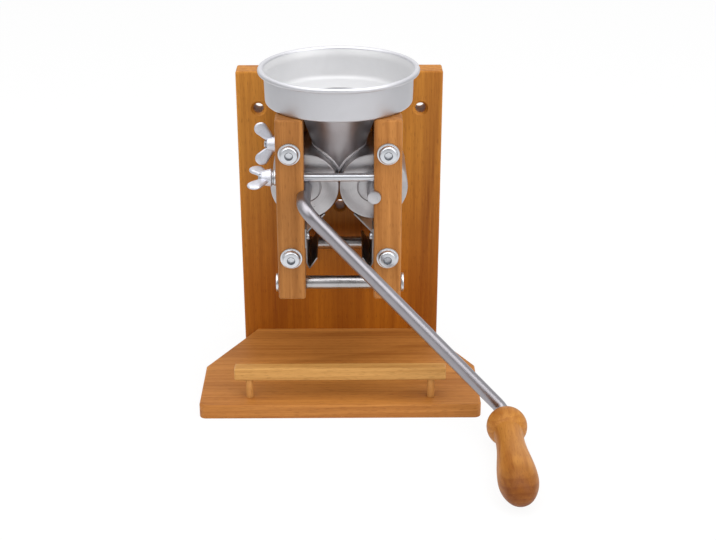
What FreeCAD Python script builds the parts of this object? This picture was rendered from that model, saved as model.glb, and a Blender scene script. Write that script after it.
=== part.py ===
"""Hand-cranked grain flaker on a wooden stand, in millimetres, with Z up.

Two steel rollers lie side by side between two wooden cheeks. Each cheek is a
front and a rear bar. The left cheek is bolted to the back board, the right one
leans outwards about the lower tie rods when the wing nuts are loosened. The
crank is bent from the left roller's shaft, and the hopper lifts off.

The origin is on the table, below the middle of the back board's front face.
X runs to the right between the rollers, Y to the back.
"""
import FreeCAD, Part
import math
import os
from types import SimpleNamespace

import Sketcher

SIZES = {
    "board_wide": 160,
    "board_high": 232,
    "board_thick": 20,
    "board_round": 1.5,
    "hole_spare": 1,
    "wall_hole_dia": 8,
    "wall_hole_sink_dia": 12,
    "wall_hole_spacing": 126,
    "wall_hole_height": 202.4,
    "middle_hole_height": 121.9,
    "base_wide": 212,
    "base_back_wide": 140,
    "base_deep": 127.5,
    "base_side_start": 65,
    "base_thick": 11,
    "base_corner_round": 5,
    "base_edge_round": 1.5,
    "base_screw_dia": 4,
    "base_screw_head_dia": 7.4,
    "base_screw_long": 50,
    "base_screw_spacing": 50,
    "rail_long": 159,
    "rail_deep": 9,
    "rail_high": 10.5,
    "rail_lift": 15.3,
    "rail_setback": 14.5,
    "rail_round": 1.5,
    "dowel_dia": 6,
    "dowel_spacing": 137,
    "dowel_sunk": 5,
    "bar_side": 20,
    "bar_long": 139,
    "bar_foot_height": 87,
    "bar_round": 2,
    "chamber_deep": 55,
    "standoff_dia": 16,
    "roller_dia": 50,
    "roller_long": 53,
    "roller_gap": 0.4,
    "roller_height": 168.5,
    "roller_chamfer": 0.8,
    "shaft_dia": 10,
    "shaft_proud": 2,
    "shaft_rear_gap": 0.5,
    "shaft_chamfer": 0.6,
    "running_clearance": 0.05,
    "thrust_washer_dia": 22,
    "thrust_washer_thick": 0.8,
    "frame_bolt_dia": 8,
    "frame_bolt_head_dia": 14,
    "frame_bolt_head_high": 4.4,
    "frame_bolt_socket": 5,
    "frame_hole_dia": 8.4,
    "frame_washer_dia": 16,
    "frame_washer_thick": 1.6,
    "frame_bolt_high": 201.3,
    "frame_bolt_drop": 13,
    "left_bolt_past": 0.4,
    "right_bolt_short": 6.6,
    "spacer_dia": 14,
    "insert_dia": 12,
    "insert_long": 15,
    "tie_rod_dia": 10,
    "tie_rod_height": 96.8,
    "tie_rod_play": 0.2,
    "tie_screw_dia": 6,
    "tie_screw_head_dia": 14,
    "tie_screw_head_high": 2,
    "tie_screw_grip": 12,
    "tie_screw_socket": 4,
    "tilt_clearance": 0.55,
    "tilt_head_gap": 0.3,
    "clamp_rise": 11.4,
    "clamp_bolt_dia": 6,
    "clamp_bolt_long": 97,
    "clamp_head_dia": 10,
    "clamp_head_high": 6,
    "clamp_socket": 5,
    "clamp_sink_dia": 11.8,
    "clamp_sink_deep": 6.5,
    "clamp_head_gap": 0.2,
    "clamp_hole_clearance": 0.3,
    "clamp_tilt_clearance": 0.8,
    "clamp_washer_dia": 12,
    "clamp_washer_thick": 1.6,
    "spring_washer_dia": 10.5,
    "spring_washer_thick": 1.6,
    "nut_gap": 0.1,
    "nut_foot_dia": 13,
    "nut_neck_dia": 10,
    "nut_hub_high": 7.5,
    "nut_high": 17,
    "nut_span": 34.8,
    "nut_ear_radius": 5.3,
    "nut_ear_root_radius": 3,
    "nut_ear_thick": 3,
    "nut_ear_round": 1,
    "front_nut_turn": 97.5,
    "crank_standoff": 22,
    "crank_reach": 211.7,
    "crank_lean": 4.8,
    "crank_near_bend": 12,
    "crank_far_bend": 8.5,
    "table_gap": 0.3,
    "grip_gap": 0.5,
    "grip_long": 107.5,
    "grip_ball_radius": 14.7,
    "grip_neck_radius": 10.2,
    "grip_neck_at": 36,
    "grip_bulge_radius": 13.9,
    "grip_bulge_at": 85,
    "grip_end_radius": 38,
    "grip_cap_step": 4,
    "grip_cap_high": 5.5,
    "grip_bore_clearance": 0.08,
    "grip_pin_long": 76,
    "grip_well_dia": 14.4,
    "grip_plug_long": 13,
    "grip_washer_dia": 13.6,
    "grip_washer_thick": 1,
    "grip_washer_gap": 0.3,
    "grip_screw_dia": 5,
    "grip_screw_head_dia": 9,
    "grip_screw_head_high": 4,
    "grip_screw_long": 14,
    "hopper_rim_dia": 118,
    "hopper_bead_radius": 1.9,
    "hopper_bead_gap": 0.6,
    "hopper_bead_lap": 0.15,
    "hopper_wall_gap": 0.9,
    "hopper_draft": 0.6,
    "hopper_deep": 25.6,
    "hopper_corner_round": 2.2,
    "hopper_inner_round": 7,
    "hopper_sheet": 1.2,
    "hopper_seat_gap": 0.1,
    "funnel_throat_dia": 61.6,
    "funnel_slope": 19,
    "funnel_tip_lift": 6.8,
    "saddle_clearance": 0.6,
    "scraper_sheet": 1,
    "scraper_touch_angle": 56.4,
    "scraper_touch_gap": 0.15,
    "scraper_bend_drop": 1.4,
    "scraper_foot_drop": 26.5,
    "scraper_fold_drop": 31.6,
    "scraper_fold_in": 2.6,
    "scraper_lip_drop": 22.5,
    "scraper_lip_in": 8.6,
    "scraper_end_gap": 0.6,
    "scraper_ear_high": 15,
    "scraper_ear_end": 5,
    "scraper_screw_drop": 9.5,
    "scraper_screw_dia": 3,
    "scraper_screw_head_dia": 5.6,
    "scraper_screw_head_high": 2.2,
    "scraper_screw_socket": 2,
    "scraper_screw_long": 10,
}


class Dim:
    """A size in numbers that keeps the formula it comes from."""

    def __init__(self, value, text):
        self.value = float(value)
        self.text = text

    def __float__(self):
        return self.value

    def __add__(self, other):
        return Dim(self.value + float(other), f"({self.text} + {words(other)})")

    def __radd__(self, other):
        return Dim(float(other) + self.value, f"({words(other)} + {self.text})")

    def __sub__(self, other):
        return Dim(self.value - float(other), f"({self.text} - {words(other)})")

    def __rsub__(self, other):
        return Dim(float(other) - self.value, f"({words(other)} - {self.text})")

    def __mul__(self, other):
        return Dim(self.value * float(other), f"({self.text} * {words(other)})")

    def __rmul__(self, other):
        return Dim(float(other) * self.value, f"({words(other)} * {self.text})")

    def __truediv__(self, other):
        return Dim(self.value / float(other), f"({self.text} / {words(other)})")

    def __rtruediv__(self, other):
        return Dim(float(other) / self.value, f"({words(other)} / {self.text})")

    def __neg__(self):
        return Dim(-self.value, f"(0 - {self.text})")


def words(number):
    """The formula of a size, or the digits of a plain number."""
    return number.text if isinstance(number, Dim) else repr(float(number))


def cosine(angle):
    return Dim(math.cos(math.radians(float(angle))), f"cos({words(angle)})")


def sine(angle):
    return Dim(math.sin(math.radians(float(angle))), f"sin({words(angle)})")


def tangent(angle):
    return Dim(math.tan(math.radians(float(angle))), f"tan({words(angle)})")


def root(number):
    return Dim(math.sqrt(float(number)), f"sqrt({words(number)})")


def angle_of_sine(ratio):
    return Dim(math.degrees(math.asin(float(ratio))), f"(asin({words(ratio)}) / 1 deg)")


doc = FreeCAD.newDocument("GrainFlaker")
sheet = doc.addObject("Spreadsheet::Sheet", "Sizes")
for row, (alias, number) in enumerate(SIZES.items(), start=1):
    sheet.set(f"A{row}", alias)
    sheet.set(f"B{row}", str(number))
    sheet.setAlias(f"B{row}", alias)
doc.recompute()

s = SimpleNamespace(**{alias: Dim(number, f"Sizes.{alias}") for alias, number in SIZES.items()})
SIDES = {"left": -1, "right": 1}
AXIS_X = (s.roller_dia + s.roller_gap) / 2
BAR_X = AXIS_X + s.bar_side / 2
CHEEK_X = AXIS_X + s.bar_side
HOPPER_WALL = s.hopper_rim_dia / 2 - s.hopper_bead_radius * 2 - s.hopper_bead_gap
BOARD_GAP = HOPPER_WALL + s.hopper_wall_gap - s.chamber_deep / 2 - s.bar_side
REAR_Y = -(BOARD_GAP + s.bar_side / 2)
FRONT_Y = REAR_Y - s.chamber_deep - s.bar_side
ROWS = {"front": FRONT_Y, "rear": REAR_Y}
CHAMBER_Y = (FRONT_Y + REAR_Y) / 2
CHEEK_FRONT = FRONT_Y - s.bar_side / 2
BAR_TOP = s.bar_foot_height + s.bar_long
CLAMP_Z = s.roller_height + s.clamp_rise
SCRAPER_Z = s.roller_height - s.roller_dia / 2 - s.scraper_screw_drop
BOLT_HEIGHTS = {"low": SCRAPER_Z - s.frame_bolt_drop, "high": s.frame_bolt_high}
BOLT_PASS = s.frame_washer_thick + s.bar_side * 2 + s.chamber_deep
BOLT_LONG = {"left": BOLT_PASS + BOARD_GAP + s.insert_long + s.left_bolt_past,
             "right": BOLT_PASS - s.right_bolt_short}
ARM_TURN = angle_of_sine((s.roller_height - s.grip_ball_radius - s.table_gap) / s.crank_reach)
ARM_Y = CHEEK_FRONT - s.crank_standoff
ARM_END_Y = ARM_Y - s.crank_reach * tangent(s.crank_lean)
BEND_SHARE = tangent((90 - s.crank_lean) / 2)
GRIP_Y = ARM_END_Y - s.crank_far_bend * BEND_SHARE - s.grip_gap
GRIP_X = s.crank_reach * cosine(ARM_TURN) - AXIS_X
GRIP_Z = s.roller_height - s.crank_reach * sine(ARM_TURN)
NUT_X = -(CHEEK_X + s.clamp_washer_thick + s.spring_washer_thick + s.nut_gap)
parts = {}


def vector(x, y, z=0):
    return FreeCAD.Vector(float(x), float(y), float(z))


def bind(item, name, value):
    """Sets a property, by its formula where the value is a size."""
    if isinstance(value, Dim):
        item.setExpression(name, value.text)
    else:
        setattr(item, name, value)


def place(item, x=0, y=0, z=0, axis=(0, 0, 1), angle=0):
    """Puts an object at a place, and turns it about an axis through that place."""
    turn = FreeCAD.Rotation(FreeCAD.Vector(*axis), float(angle))
    item.Placement = FreeCAD.Placement(vector(x, y, z), turn)
    for name, value in (("x", x), ("y", y), ("z", z)):
        if isinstance(value, Dim):
            item.setExpression(f"Placement.Base.{name}", value.text)
    if isinstance(angle, Dim):
        item.setExpression("Placement.Rotation.Angle", angle.text)
    return item


def keep(label, item):
    """Names a finished sub-part and lists it for export."""
    item.Label = label
    parts[label] = item
    return item


def new_body(name, **where):
    body = doc.addObject("PartDesign::Body", name)
    return place(body, **where)


def new_sketch(body, plane, name, offset=0):
    """A sketch on one of the body's origin planes, moved along that plane's normal."""
    sketch = body.newObject("Sketcher::SketchObject", name)
    support = [item for item in body.Origin.OriginFeatures if item.Role == plane][0]
    sketch.AttachmentSupport = [(support, "")]
    sketch.MapMode = "FlatFace"
    sketch.AttachmentOffset = FreeCAD.Placement(vector(0, 0, offset), FreeCAD.Rotation())
    if isinstance(offset, Dim):
        sketch.setExpression("AttachmentOffset.Base.z", offset.text)
    return sketch


def constrain(sketch, kind, *where):
    """Adds a dimension whose last item is a size, and binds it to its formula."""
    *refs, value = where
    index = sketch.addConstraint(Sketcher.Constraint(kind, *refs, float(value)))
    if isinstance(value, Dim):
        sketch.setExpression(f"Constraints[{index}]", value.text)


def pin_point(sketch, geometry, corner, x, y):
    """Fixes a point of a sketch at a place given from the sketch's origin."""
    for kind, axis, value in (("DistanceX", -2, x), ("DistanceY", -1, y)):
        if abs(float(value)) > 1e-9:
            constrain(sketch, kind, -1, 1, geometry, corner, value)
        else:
            sketch.addConstraint(Sketcher.Constraint("PointOnObject", geometry, corner, axis))


def pin_middle(sketch, curve, x, y):
    """Fixes the middle of a circle or arc, which a sketch counts as its third point."""
    pin_point(sketch, curve, 3, x, y)


def add_circle(sketch, x, y, diameter):
    circle = Part.Circle(vector(x, y), FreeCAD.Vector(0, 0, 1), float(diameter) / 2)
    index = sketch.addGeometry(circle, False)
    pin_middle(sketch, index, x, y)
    constrain(sketch, "Diameter", index, diameter)


def add_arc(sketch, start, end, radius, left):
    """An arc of a given radius between two points, with its centre to the left or right of the way."""
    x0, y0, x1, y1 = [float(v) for v in (*start, *end)]
    span = math.hypot(x1 - x0, y1 - y0)
    rise = math.sqrt(max(float(radius) ** 2 - span ** 2 / 4, 0)) * (1 if left else -1)
    middle = vector((x0 + x1) / 2 - rise * (y1 - y0) / span, (y0 + y1) / 2 + rise * (x1 - x0) / span)
    angles = [math.atan2(y - middle.y, x - middle.x) for x, y in ((x0, y0), (x1, y1))]
    if not left:
        angles.reverse()
    circle = Part.Circle(middle, FreeCAD.Vector(0, 0, 1), float(radius))
    index = sketch.addGeometry(Part.ArcOfCircle(circle, *angles), False)
    constrain(sketch, "Radius", index, radius)
    return index, (1, 2) if left else (2, 1)


def add_outline(sketch, points, arcs=None):
    """A closed outline of lines. arcs gives, for a stretch's number, its radius and turning side."""
    arcs = arcs or {}
    ends = []
    for number, start in enumerate(points):
        end = points[(number + 1) % len(points)]
        if number in arcs:
            ends.append(add_arc(sketch, start, end, *arcs[number]))
        else:
            index = sketch.addGeometry(Part.LineSegment(vector(*start), vector(*end)), False)
            ends.append((index, (1, 2)))
    for number, (index, (first, _)) in enumerate(ends):
        before, (_, last) = ends[number - 1]
        sketch.addConstraint(Sketcher.Constraint("Coincident", before, last, index, first))
        pin_point(sketch, index, first, *points[number])


def pad(body, sketch, length, name="Pad", both=False, back=False):
    feature = body.newObject("PartDesign::Pad", name)
    feature.Profile = sketch
    bind(feature, "Length", length)
    feature.SideType = "Symmetric" if both else "One side"
    feature.Reversed = back
    return feature


def pocket(body, sketch, name, depth=None, back=False):
    """Cuts a sketch out, to a depth, or right through both ways where no depth is given."""
    feature = body.newObject("PartDesign::Pocket", name)
    feature.Profile = sketch
    if depth is None:
        feature.SideType = "Symmetric"
        feature.Type = "ThroughAll"
    else:
        bind(feature, "Length", depth)
        feature.Reversed = back
    return feature


def revolve(body, sketch, name="Turned"):
    """Turns a sketch on the upright plane about the body's own Z axis."""
    feature = body.newObject("PartDesign::Revolution", name)
    feature.Profile = sketch
    feature.ReferenceAxis = (sketch, ["V_Axis"])
    feature.Angle = 360
    return feature


def dress(body, kind, base, size, pick=None):
    """Rounds or bevels all edges of a feature, or those that pick accepts."""
    doc.recompute()
    feature = body.newObject(f"PartDesign::{kind}", kind)
    edges = [f"Edge{n}" for n, edge in enumerate(base.Shape.Edges, start=1) if pick is None or pick(edge)]
    feature.Base = (base, edges)
    bind(feature, "Radius" if kind == "Fillet" else "Size", size)
    return feature


def cylinder(name, diameter, length, **where):
    item = doc.addObject("Part::Cylinder", name)
    bind(item, "Radius", diameter / 2)
    bind(item, "Height", length)
    return place(item, **where)


def fuse(name, base, tool, **where):
    item = doc.addObject("Part::Fuse", name)
    item.Base = base
    item.Tool = tool
    return place(item, **where)


def cut(name, base, tool, **where):
    item = doc.addObject("Part::Cut", name)
    item.Base = base
    item.Tool = tool
    return place(item, **where)


def group(label, items):
    """Keeps several equal pieces as one sub-part of separate solids."""
    compound = doc.addObject("Part::Compound", label)
    compound.Links = items
    return keep(label, compound)


def ring(name, outer, inner, length, **where):
    """A washer or tube along the object's own Z axis."""
    body = cylinder(f"{name}_outer", outer, length)
    bore = cylinder(f"{name}_bore", inner, length)
    return cut(name, body, bore, **where)


def make_back_board():
    body = new_body("back_board_body")
    outline = new_sketch(body, "XZ_Plane", "BoardOutline")
    half = s.board_wide / 2
    add_outline(outline, [(-half, 0), (half, 0), (half, s.board_high), (-half, s.board_high)])
    plank = pad(body, outline, s.board_thick, "Plank", back=True)
    dress(body, "Fillet", plank, s.board_round)
    screw_places = new_sketch(body, "XZ_Plane", "WallHolePlaces")
    for side in (-1, 1):
        add_circle(screw_places, s.wall_hole_spacing / 2 * side, s.wall_hole_height, s.wall_hole_dia)
    add_circle(screw_places, 0, s.middle_hole_height, s.wall_hole_dia)
    sunk_holes(body, screw_places, s.wall_hole_dia, s.wall_hole_sink_dia)
    insert_places = new_sketch(body, "XZ_Plane", "InsertPlaces")
    for height in BOLT_HEIGHTS.values():
        add_circle(insert_places, -BAR_X, height, s.insert_dia)
    pocket(body, insert_places, "InsertHoles", s.insert_long + s.hole_spare)
    base_places = new_sketch(body, "XZ_Plane", "BaseScrewPlaces", -s.board_thick)
    for step in (-1, 0, 1):
        add_circle(base_places, s.base_screw_spacing * step, s.base_thick / 2, s.base_screw_dia)
    sunk_holes(body, base_places, s.base_screw_dia, s.base_screw_head_dia, back=True)
    keep("back_board", body)


def sunk_holes(body, places, diameter, sink, back=False):
    """Countersunk through holes at the circles of a sketch."""
    doc.recompute()
    holes = body.newObject("PartDesign::Hole", "SunkHoles")
    holes.Profile = places
    doc.recompute()
    holes.HoleCutType = "Countersink"
    holes.HoleCutCustomValues = True
    holes.HoleCutCountersinkAngle = 90
    holes.DepthType = "ThroughAll"
    holes.Reversed = back
    bind(holes, "Diameter", diameter)
    bind(holes, "HoleCutDiameter", sink)


def make_base_board():
    body = new_body("base_board_body")
    outline = new_sketch(body, "XY_Plane", "BaseOutline")
    half, back = s.base_wide / 2, s.base_back_wide / 2
    side, deep = -s.base_side_start, -s.base_deep
    add_outline(outline, [(-back, 0), (-half, side), (-half, deep), (half, deep), (half, side), (back, 0)])
    plank = pad(body, outline, s.base_thick, "Plank")
    corners = dress(body, "Fillet", plank, s.base_corner_round, upright_at_front)
    dress(body, "Fillet", corners, s.base_edge_round, above_table_in_front)
    dowel_places = new_sketch(body, "XY_Plane", "DowelPlaces", s.base_thick)
    for side in (-1, 1):
        add_circle(dowel_places, s.dowel_spacing / 2 * side, s.rail_setback - s.base_deep, s.dowel_dia)
    pocket(body, dowel_places, "DowelHoles", s.dowel_sunk)
    screw_places = new_sketch(body, "XZ_Plane", "ScrewPlaces")
    for step in (-1, 0, 1):
        add_circle(screw_places, s.base_screw_spacing * step, s.base_thick / 2, s.base_screw_dia)
    pocket(body, screw_places, "ScrewHoles", s.base_screw_long - s.board_thick + s.hole_spare,
           back=True)
    keep("base_board", body)


def upright_at_front(edge):
    """Accepts the upright edges of the base's two front corners."""
    box = edge.BoundBox
    return box.ZLength > 1 and box.YLength < 0.01 and box.YMax < -SIZES["base_deep"] + 1


def above_table_in_front(edge):
    """Accepts the base's upper edges, apart from the one against the back board."""
    box = edge.BoundBox
    return box.ZMin > SIZES["base_thick"] - 0.01 and box.YMin < -0.01


def make_base_screws():
    """Three countersunk wood screws through the back board into the base."""
    screws = []
    head_high = (s.base_screw_head_dia - s.base_screw_dia) / 2
    for number, step in enumerate((-1, 0, 1)):
        head = doc.addObject("Part::Cone", f"BaseScrewHead{number}")
        bind(head, "Radius1", s.base_screw_head_dia / 2)
        bind(head, "Radius2", s.base_screw_dia / 2)
        bind(head, "Height", head_high)
        shank = cylinder(f"BaseScrewShank{number}", s.base_screw_dia, s.base_screw_long)
        whole = fuse(f"BaseScrew{number}", head, shank, x=s.base_screw_spacing * step, y=s.board_thick,
                     z=s.base_thick / 2, axis=(1, 0, 0), angle=90)
        screws.append(whole)
    group("base_screws", screws)


def make_bowl_rail():
    y = s.rail_setback - s.base_deep
    body = new_body("bowl_rail_body", y=y, z=s.base_thick + s.rail_lift)
    outline = new_sketch(body, "XY_Plane", "RailOutline")
    half, deep = s.rail_long / 2, s.rail_deep / 2
    add_outline(outline, [(-half, -deep), (half, -deep), (half, deep), (-half, deep)])
    strip = pad(body, outline, s.rail_high, "Strip")
    dress(body, "Fillet", strip, s.rail_round)
    places = new_sketch(body, "XY_Plane", "DowelPlaces")
    for side in (-1, 1):
        add_circle(places, s.dowel_spacing / 2 * side, 0, s.dowel_dia)
    pocket(body, places, "DowelHoles", s.dowel_sunk, back=True)
    keep("bowl_rail", body)
    long = s.rail_lift + s.dowel_sunk * 2
    dowels = [cylinder(f"{side_name}_dowel", s.dowel_dia, long, x=s.dowel_spacing / 2 * side, y=y,
                       z=s.base_thick - s.dowel_sunk) for side_name, side in SIDES.items()]
    group("rail_dowels", dowels)


def make_bar(side_name, row_name):
    """One of the four upright bars, drawn about its own middle with its foot at the origin."""
    side = SIDES[side_name]
    name = f"{side_name}_{row_name}_bar"
    body = new_body(f"{name}_body", x=BAR_X * side, y=ROWS[row_name], z=s.bar_foot_height)
    half = s.bar_side / 2
    outline = new_sketch(body, "XY_Plane", "BarOutline")
    add_outline(outline, [(-half, -half), (half, -half), (half, half), (-half, half)])
    stick = pad(body, outline, s.bar_long, "Stick")
    dress(body, "Fillet", stick, s.bar_round)
    notch = new_sketch(body, "XZ_Plane", "ShaftNotch")
    notch_dia = s.shaft_dia + s.running_clearance * 2
    add_circle(notch, -half * side, s.roller_height - s.bar_foot_height, notch_dia)
    pocket(body, notch, "ShaftSeat")
    bolts = new_sketch(body, "XZ_Plane", "BoltPlaces")
    for height in BOLT_HEIGHTS.values():
        add_circle(bolts, 0, height - s.bar_foot_height, s.frame_hole_dia)
    pocket(body, bolts, "BoltHoles")
    if name == "right_rear_bar":
        inserts = new_sketch(body, "XZ_Plane", "InsertPlaces", -half)
        for height in BOLT_HEIGHTS.values():
            add_circle(inserts, 0, height - s.bar_foot_height, s.insert_dia)
        pocket(body, inserts, "InsertHoles", s.insert_long, back=True)
    clamp = new_sketch(body, "YZ_Plane", "ClampPlace")
    clearance = s.clamp_hole_clearance if side < 0 else s.clamp_tilt_clearance
    add_circle(clamp, 0, CLAMP_Z - s.bar_foot_height, s.clamp_bolt_dia + clearance * 2)
    pocket(body, clamp, "ClampHole")
    tie = new_sketch(body, "YZ_Plane", "TiePlace")
    clearance = s.running_clearance if side < 0 else s.tilt_clearance
    add_circle(tie, 0, s.tie_rod_height - s.bar_foot_height, s.tie_screw_dia + clearance * 2)
    pocket(body, tie, "TieHole")
    if side > 0:
        sink = new_sketch(body, "YZ_Plane", "HeadPlace", half)
        add_circle(sink, 0, CLAMP_Z - s.bar_foot_height, s.clamp_sink_dia)
        pocket(body, sink, "HeadSink", s.clamp_sink_deep)
    scraper = new_sketch(body, "YZ_Plane", "ScraperScrewPlace", -half * side)
    add_circle(scraper, 0, SCRAPER_Z - s.bar_foot_height, s.scraper_screw_dia)
    pocket(body, scraper, "ScraperScrewHole", s.scraper_screw_long, back=side > 0)
    keep(name, body)


def socket_bolt(name, shank_dia, length, head, across, dome=False, **where):
    """A bolt along its own Z axis, with the head's seat at the origin and the head below it."""
    head_dia, head_high = head
    body = new_body(f"{name}_body", **where)
    outline = new_sketch(body, "XZ_Plane", "BoltProfile")
    rim, low, shank = head_dia / 2, -head_high, shank_dia / 2
    if dome:
        points = [(0, low), (across / 2 + 1, low), (rim, low / 6), (rim, 0)]
        arcs = {1: (rim * 0.8, True)}
    else:
        points = [(0, low), (rim, low), (rim, 0)]
        arcs = {}
    add_outline(outline, points + [(shank, 0), (shank, length), (0, length)], arcs)
    revolve(body, outline)
    key = new_sketch(body, "XY_Plane", "KeyPlace", low)
    corner = across / (2 * cosine(30))
    add_outline(key, [(corner * cosine(60 * k), corner * sine(60 * k)) for k in range(6)])
    pocket(body, key, "KeySocket", head_high * 0.55, back=True)
    return body


TO_BACK = {"axis": (1, 0, 0), "angle": -90}
TO_FRONT = {"axis": (1, 0, 0), "angle": 90}
TO_RIGHT = {"axis": (0, 1, 0), "angle": 90}
TO_LEFT = {"axis": (0, 1, 0), "angle": -90}


def make_frame_bolts(side_name):
    """The two long bolts of a cheek, with washers, spacer tubes and threaded inserts."""
    side = SIDES[side_name]
    x = BAR_X * side
    long = BOLT_LONG[side_name]
    insert_y = 0 if side < 0 else REAR_Y + s.bar_side / 2 - s.insert_long
    bolts, washers, tubes, inserts, rings = [], [], [], [], []
    for level, height in BOLT_HEIGHTS.items():
        name = f"{side_name}_{level}"
        seat = CHEEK_FRONT - s.frame_washer_thick
        head = (s.frame_bolt_head_dia, s.frame_bolt_head_high)
        bolts.append(socket_bolt(f"{name}_bolt", s.frame_bolt_dia, long, head, s.frame_bolt_socket, True,
                                 x=x, y=seat, z=height, **TO_BACK))
        washers.append(ring(f"{name}_washer", s.frame_washer_dia, s.frame_hole_dia, s.frame_washer_thick,
                            x=x, y=seat, z=height, **TO_BACK))
        tubes.append(ring(f"{name}_spacer", s.spacer_dia, s.frame_hole_dia, s.chamber_deep,
                          x=x, y=FRONT_Y + s.bar_side / 2, z=height, **TO_BACK))
        inserts.append(ring(f"{name}_insert", s.insert_dia, s.frame_bolt_dia, s.insert_long,
                            x=x, y=insert_y, z=height, **TO_BACK))
        if side < 0:
            rings.append(ring(f"{name}_standoff", s.standoff_dia, s.frame_hole_dia, BOARD_GAP,
                              x=x, y=-BOARD_GAP, z=height, **TO_BACK))
    group(f"{side_name}_frame_bolts", bolts)
    group(f"{side_name}_frame_washers", washers)
    group(f"{side_name}_spacers", tubes)
    group("board_inserts" if side < 0 else "bar_inserts", inserts)
    if rings:
        group("standoff_rings", rings)


def make_tie_rods():
    """The two lower rods between the cheeks, with their flat-headed end screws."""
    long = AXIS_X * 2 - s.tie_rod_play
    head = (s.tie_screw_head_dia, s.tie_screw_head_high)
    left, right = [], []
    for row_name, y in ROWS.items():
        rod = cylinder(f"{row_name}_rod", s.tie_rod_dia, long)
        bore = cylinder(f"{row_name}_rod_thread", s.tie_screw_dia, long)
        hollow = cut(f"{row_name}_tie", rod, bore, x=-AXIS_X, y=y, z=s.tie_rod_height, **TO_RIGHT)
        keep(f"{row_name}_tie_rod", hollow)
        reach = s.bar_side + s.tie_screw_grip
        left.append(socket_bolt(f"left_{row_name}_tie_screw", s.tie_screw_dia, reach, head,
                                s.tie_screw_socket, x=-CHEEK_X, y=y, z=s.tie_rod_height, **TO_RIGHT))
        reach = reach + s.tilt_head_gap + s.tie_rod_play
        right.append(socket_bolt(f"right_{row_name}_tie_screw", s.tie_screw_dia, reach, head,
                                 s.tie_screw_socket, x=CHEEK_X + s.tilt_head_gap, y=y,
                                 z=s.tie_rod_height, **TO_LEFT))
    group("left_tie_screws", left)
    group("right_tie_screws", right)


def make_clamps():
    """The two upper bolts that pull the cheeks together, with their washers."""
    head = (s.clamp_head_dia, s.clamp_head_high)
    washers, springs = [], []
    for row_name, y in ROWS.items():
        seat = CHEEK_X - s.clamp_sink_deep + s.clamp_head_gap
        bolt = socket_bolt(f"{row_name}_clamp", s.clamp_bolt_dia, s.clamp_bolt_long, head, s.clamp_socket,
                           x=seat, y=y, z=CLAMP_Z, **TO_LEFT)
        keep(f"{row_name}_clamp_bolt", bolt)
        bore = s.clamp_bolt_dia + s.clamp_hole_clearance * 2
        washers.append(ring(f"{row_name}_flat_washer", s.clamp_washer_dia, bore, s.clamp_washer_thick,
                            x=-CHEEK_X, y=y, z=CLAMP_Z, **TO_LEFT))
        springs.append(ring(f"{row_name}_spring_washer", s.spring_washer_dia, bore, s.spring_washer_thick,
                            x=-CHEEK_X - s.clamp_washer_thick, y=y, z=CLAMP_Z, **TO_LEFT))
    group("clamp_washers", washers)
    group("spring_washers", springs)


def add_ear(sketch, side):
    """The outline of one wing: a small circle at the hub and a large one at the tip, joined by tangents."""
    low = s.nut_ear_root_radius
    circles = [(s.nut_neck_dia / 2 - low / 2, low + 1, low)]
    circles.append((s.nut_span / 2 - s.nut_ear_radius, s.nut_high - s.nut_ear_radius, s.nut_ear_radius))
    flat = [(float(x) * side, float(z), float(r)) for x, z, r in circles]
    (x0, z0, r0), (x1, z1, r1) = flat
    run = math.hypot(x1 - x0, z1 - z0)
    way = math.atan2(z1 - z0, x1 - x0)
    spread = math.acos((r0 - r1) / run)
    arcs = []
    for (x, z, r), (start, end) in zip(flat, ((way + spread, way - spread), (way - spread, way + spread))):
        circle = Part.Circle(vector(x, z), FreeCAD.Vector(0, 0, 1), r)
        arcs.append(sketch.addGeometry(Part.ArcOfCircle(circle, start, end), False))
    lines = []
    for angle in (way - spread, way + spread):
        ends = [vector(x + r * math.cos(angle), z + r * math.sin(angle)) for x, z, r in flat]
        lines.append(sketch.addGeometry(Part.LineSegment(*ends), False))
    for line, line_end, arc, arc_end in ((lines[0], 1, arcs[0], 2), (lines[0], 2, arcs[1], 1),
                                         (lines[1], 1, arcs[0], 1), (lines[1], 2, arcs[1], 2)):
        sketch.addConstraint(Sketcher.Constraint("Tangent", line, line_end, arc, arc_end))
    for arc, (x, z, r) in zip(arcs, circles):
        pin_middle(sketch, arc, x * side, z)
        constrain(sketch, "Radius", arc, r)


def make_wing_nut(row_name, turn):
    body = new_body(f"{row_name}_nut_body", **TO_LEFT)
    hub = new_sketch(body, "XZ_Plane", "HubProfile")
    add_outline(hub, [(0, 0), (s.nut_foot_dia / 2, 0), (s.nut_neck_dia / 2, s.nut_hub_high),
                      (0, s.nut_hub_high)])
    revolve(body, hub)
    ears = new_sketch(body, "XZ_Plane", "WingOutlines")
    for side in (-1, 1):
        add_ear(ears, side)
    wings = pad(body, ears, s.nut_ear_thick, "Wings", both=True)
    dress(body, "Fillet", wings, s.nut_ear_round, on_wing_rim)
    bore = new_sketch(body, "XY_Plane", "BorePlace")
    add_circle(bore, 0, 0, s.clamp_bolt_dia + s.running_clearance * 2)
    pocket(body, bore, "Bore")
    compound = doc.addObject("Part::Compound", f"{row_name}_nut")
    compound.Links = [body]
    place(compound, x=NUT_X, y=ROWS[row_name], z=CLAMP_Z, axis=(1, 0, 0), angle=turn)
    keep(f"{row_name}_wing_nut", compound)


def on_wing_rim(edge):
    """Accepts the long outer edges of the wings, clear of the hub."""
    box = edge.BoundBox
    far = max(abs(box.XMin), abs(box.XMax)) > SIZES["nut_span"] / 2 - 0.1
    return far and box.YLength < 0.01


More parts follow.
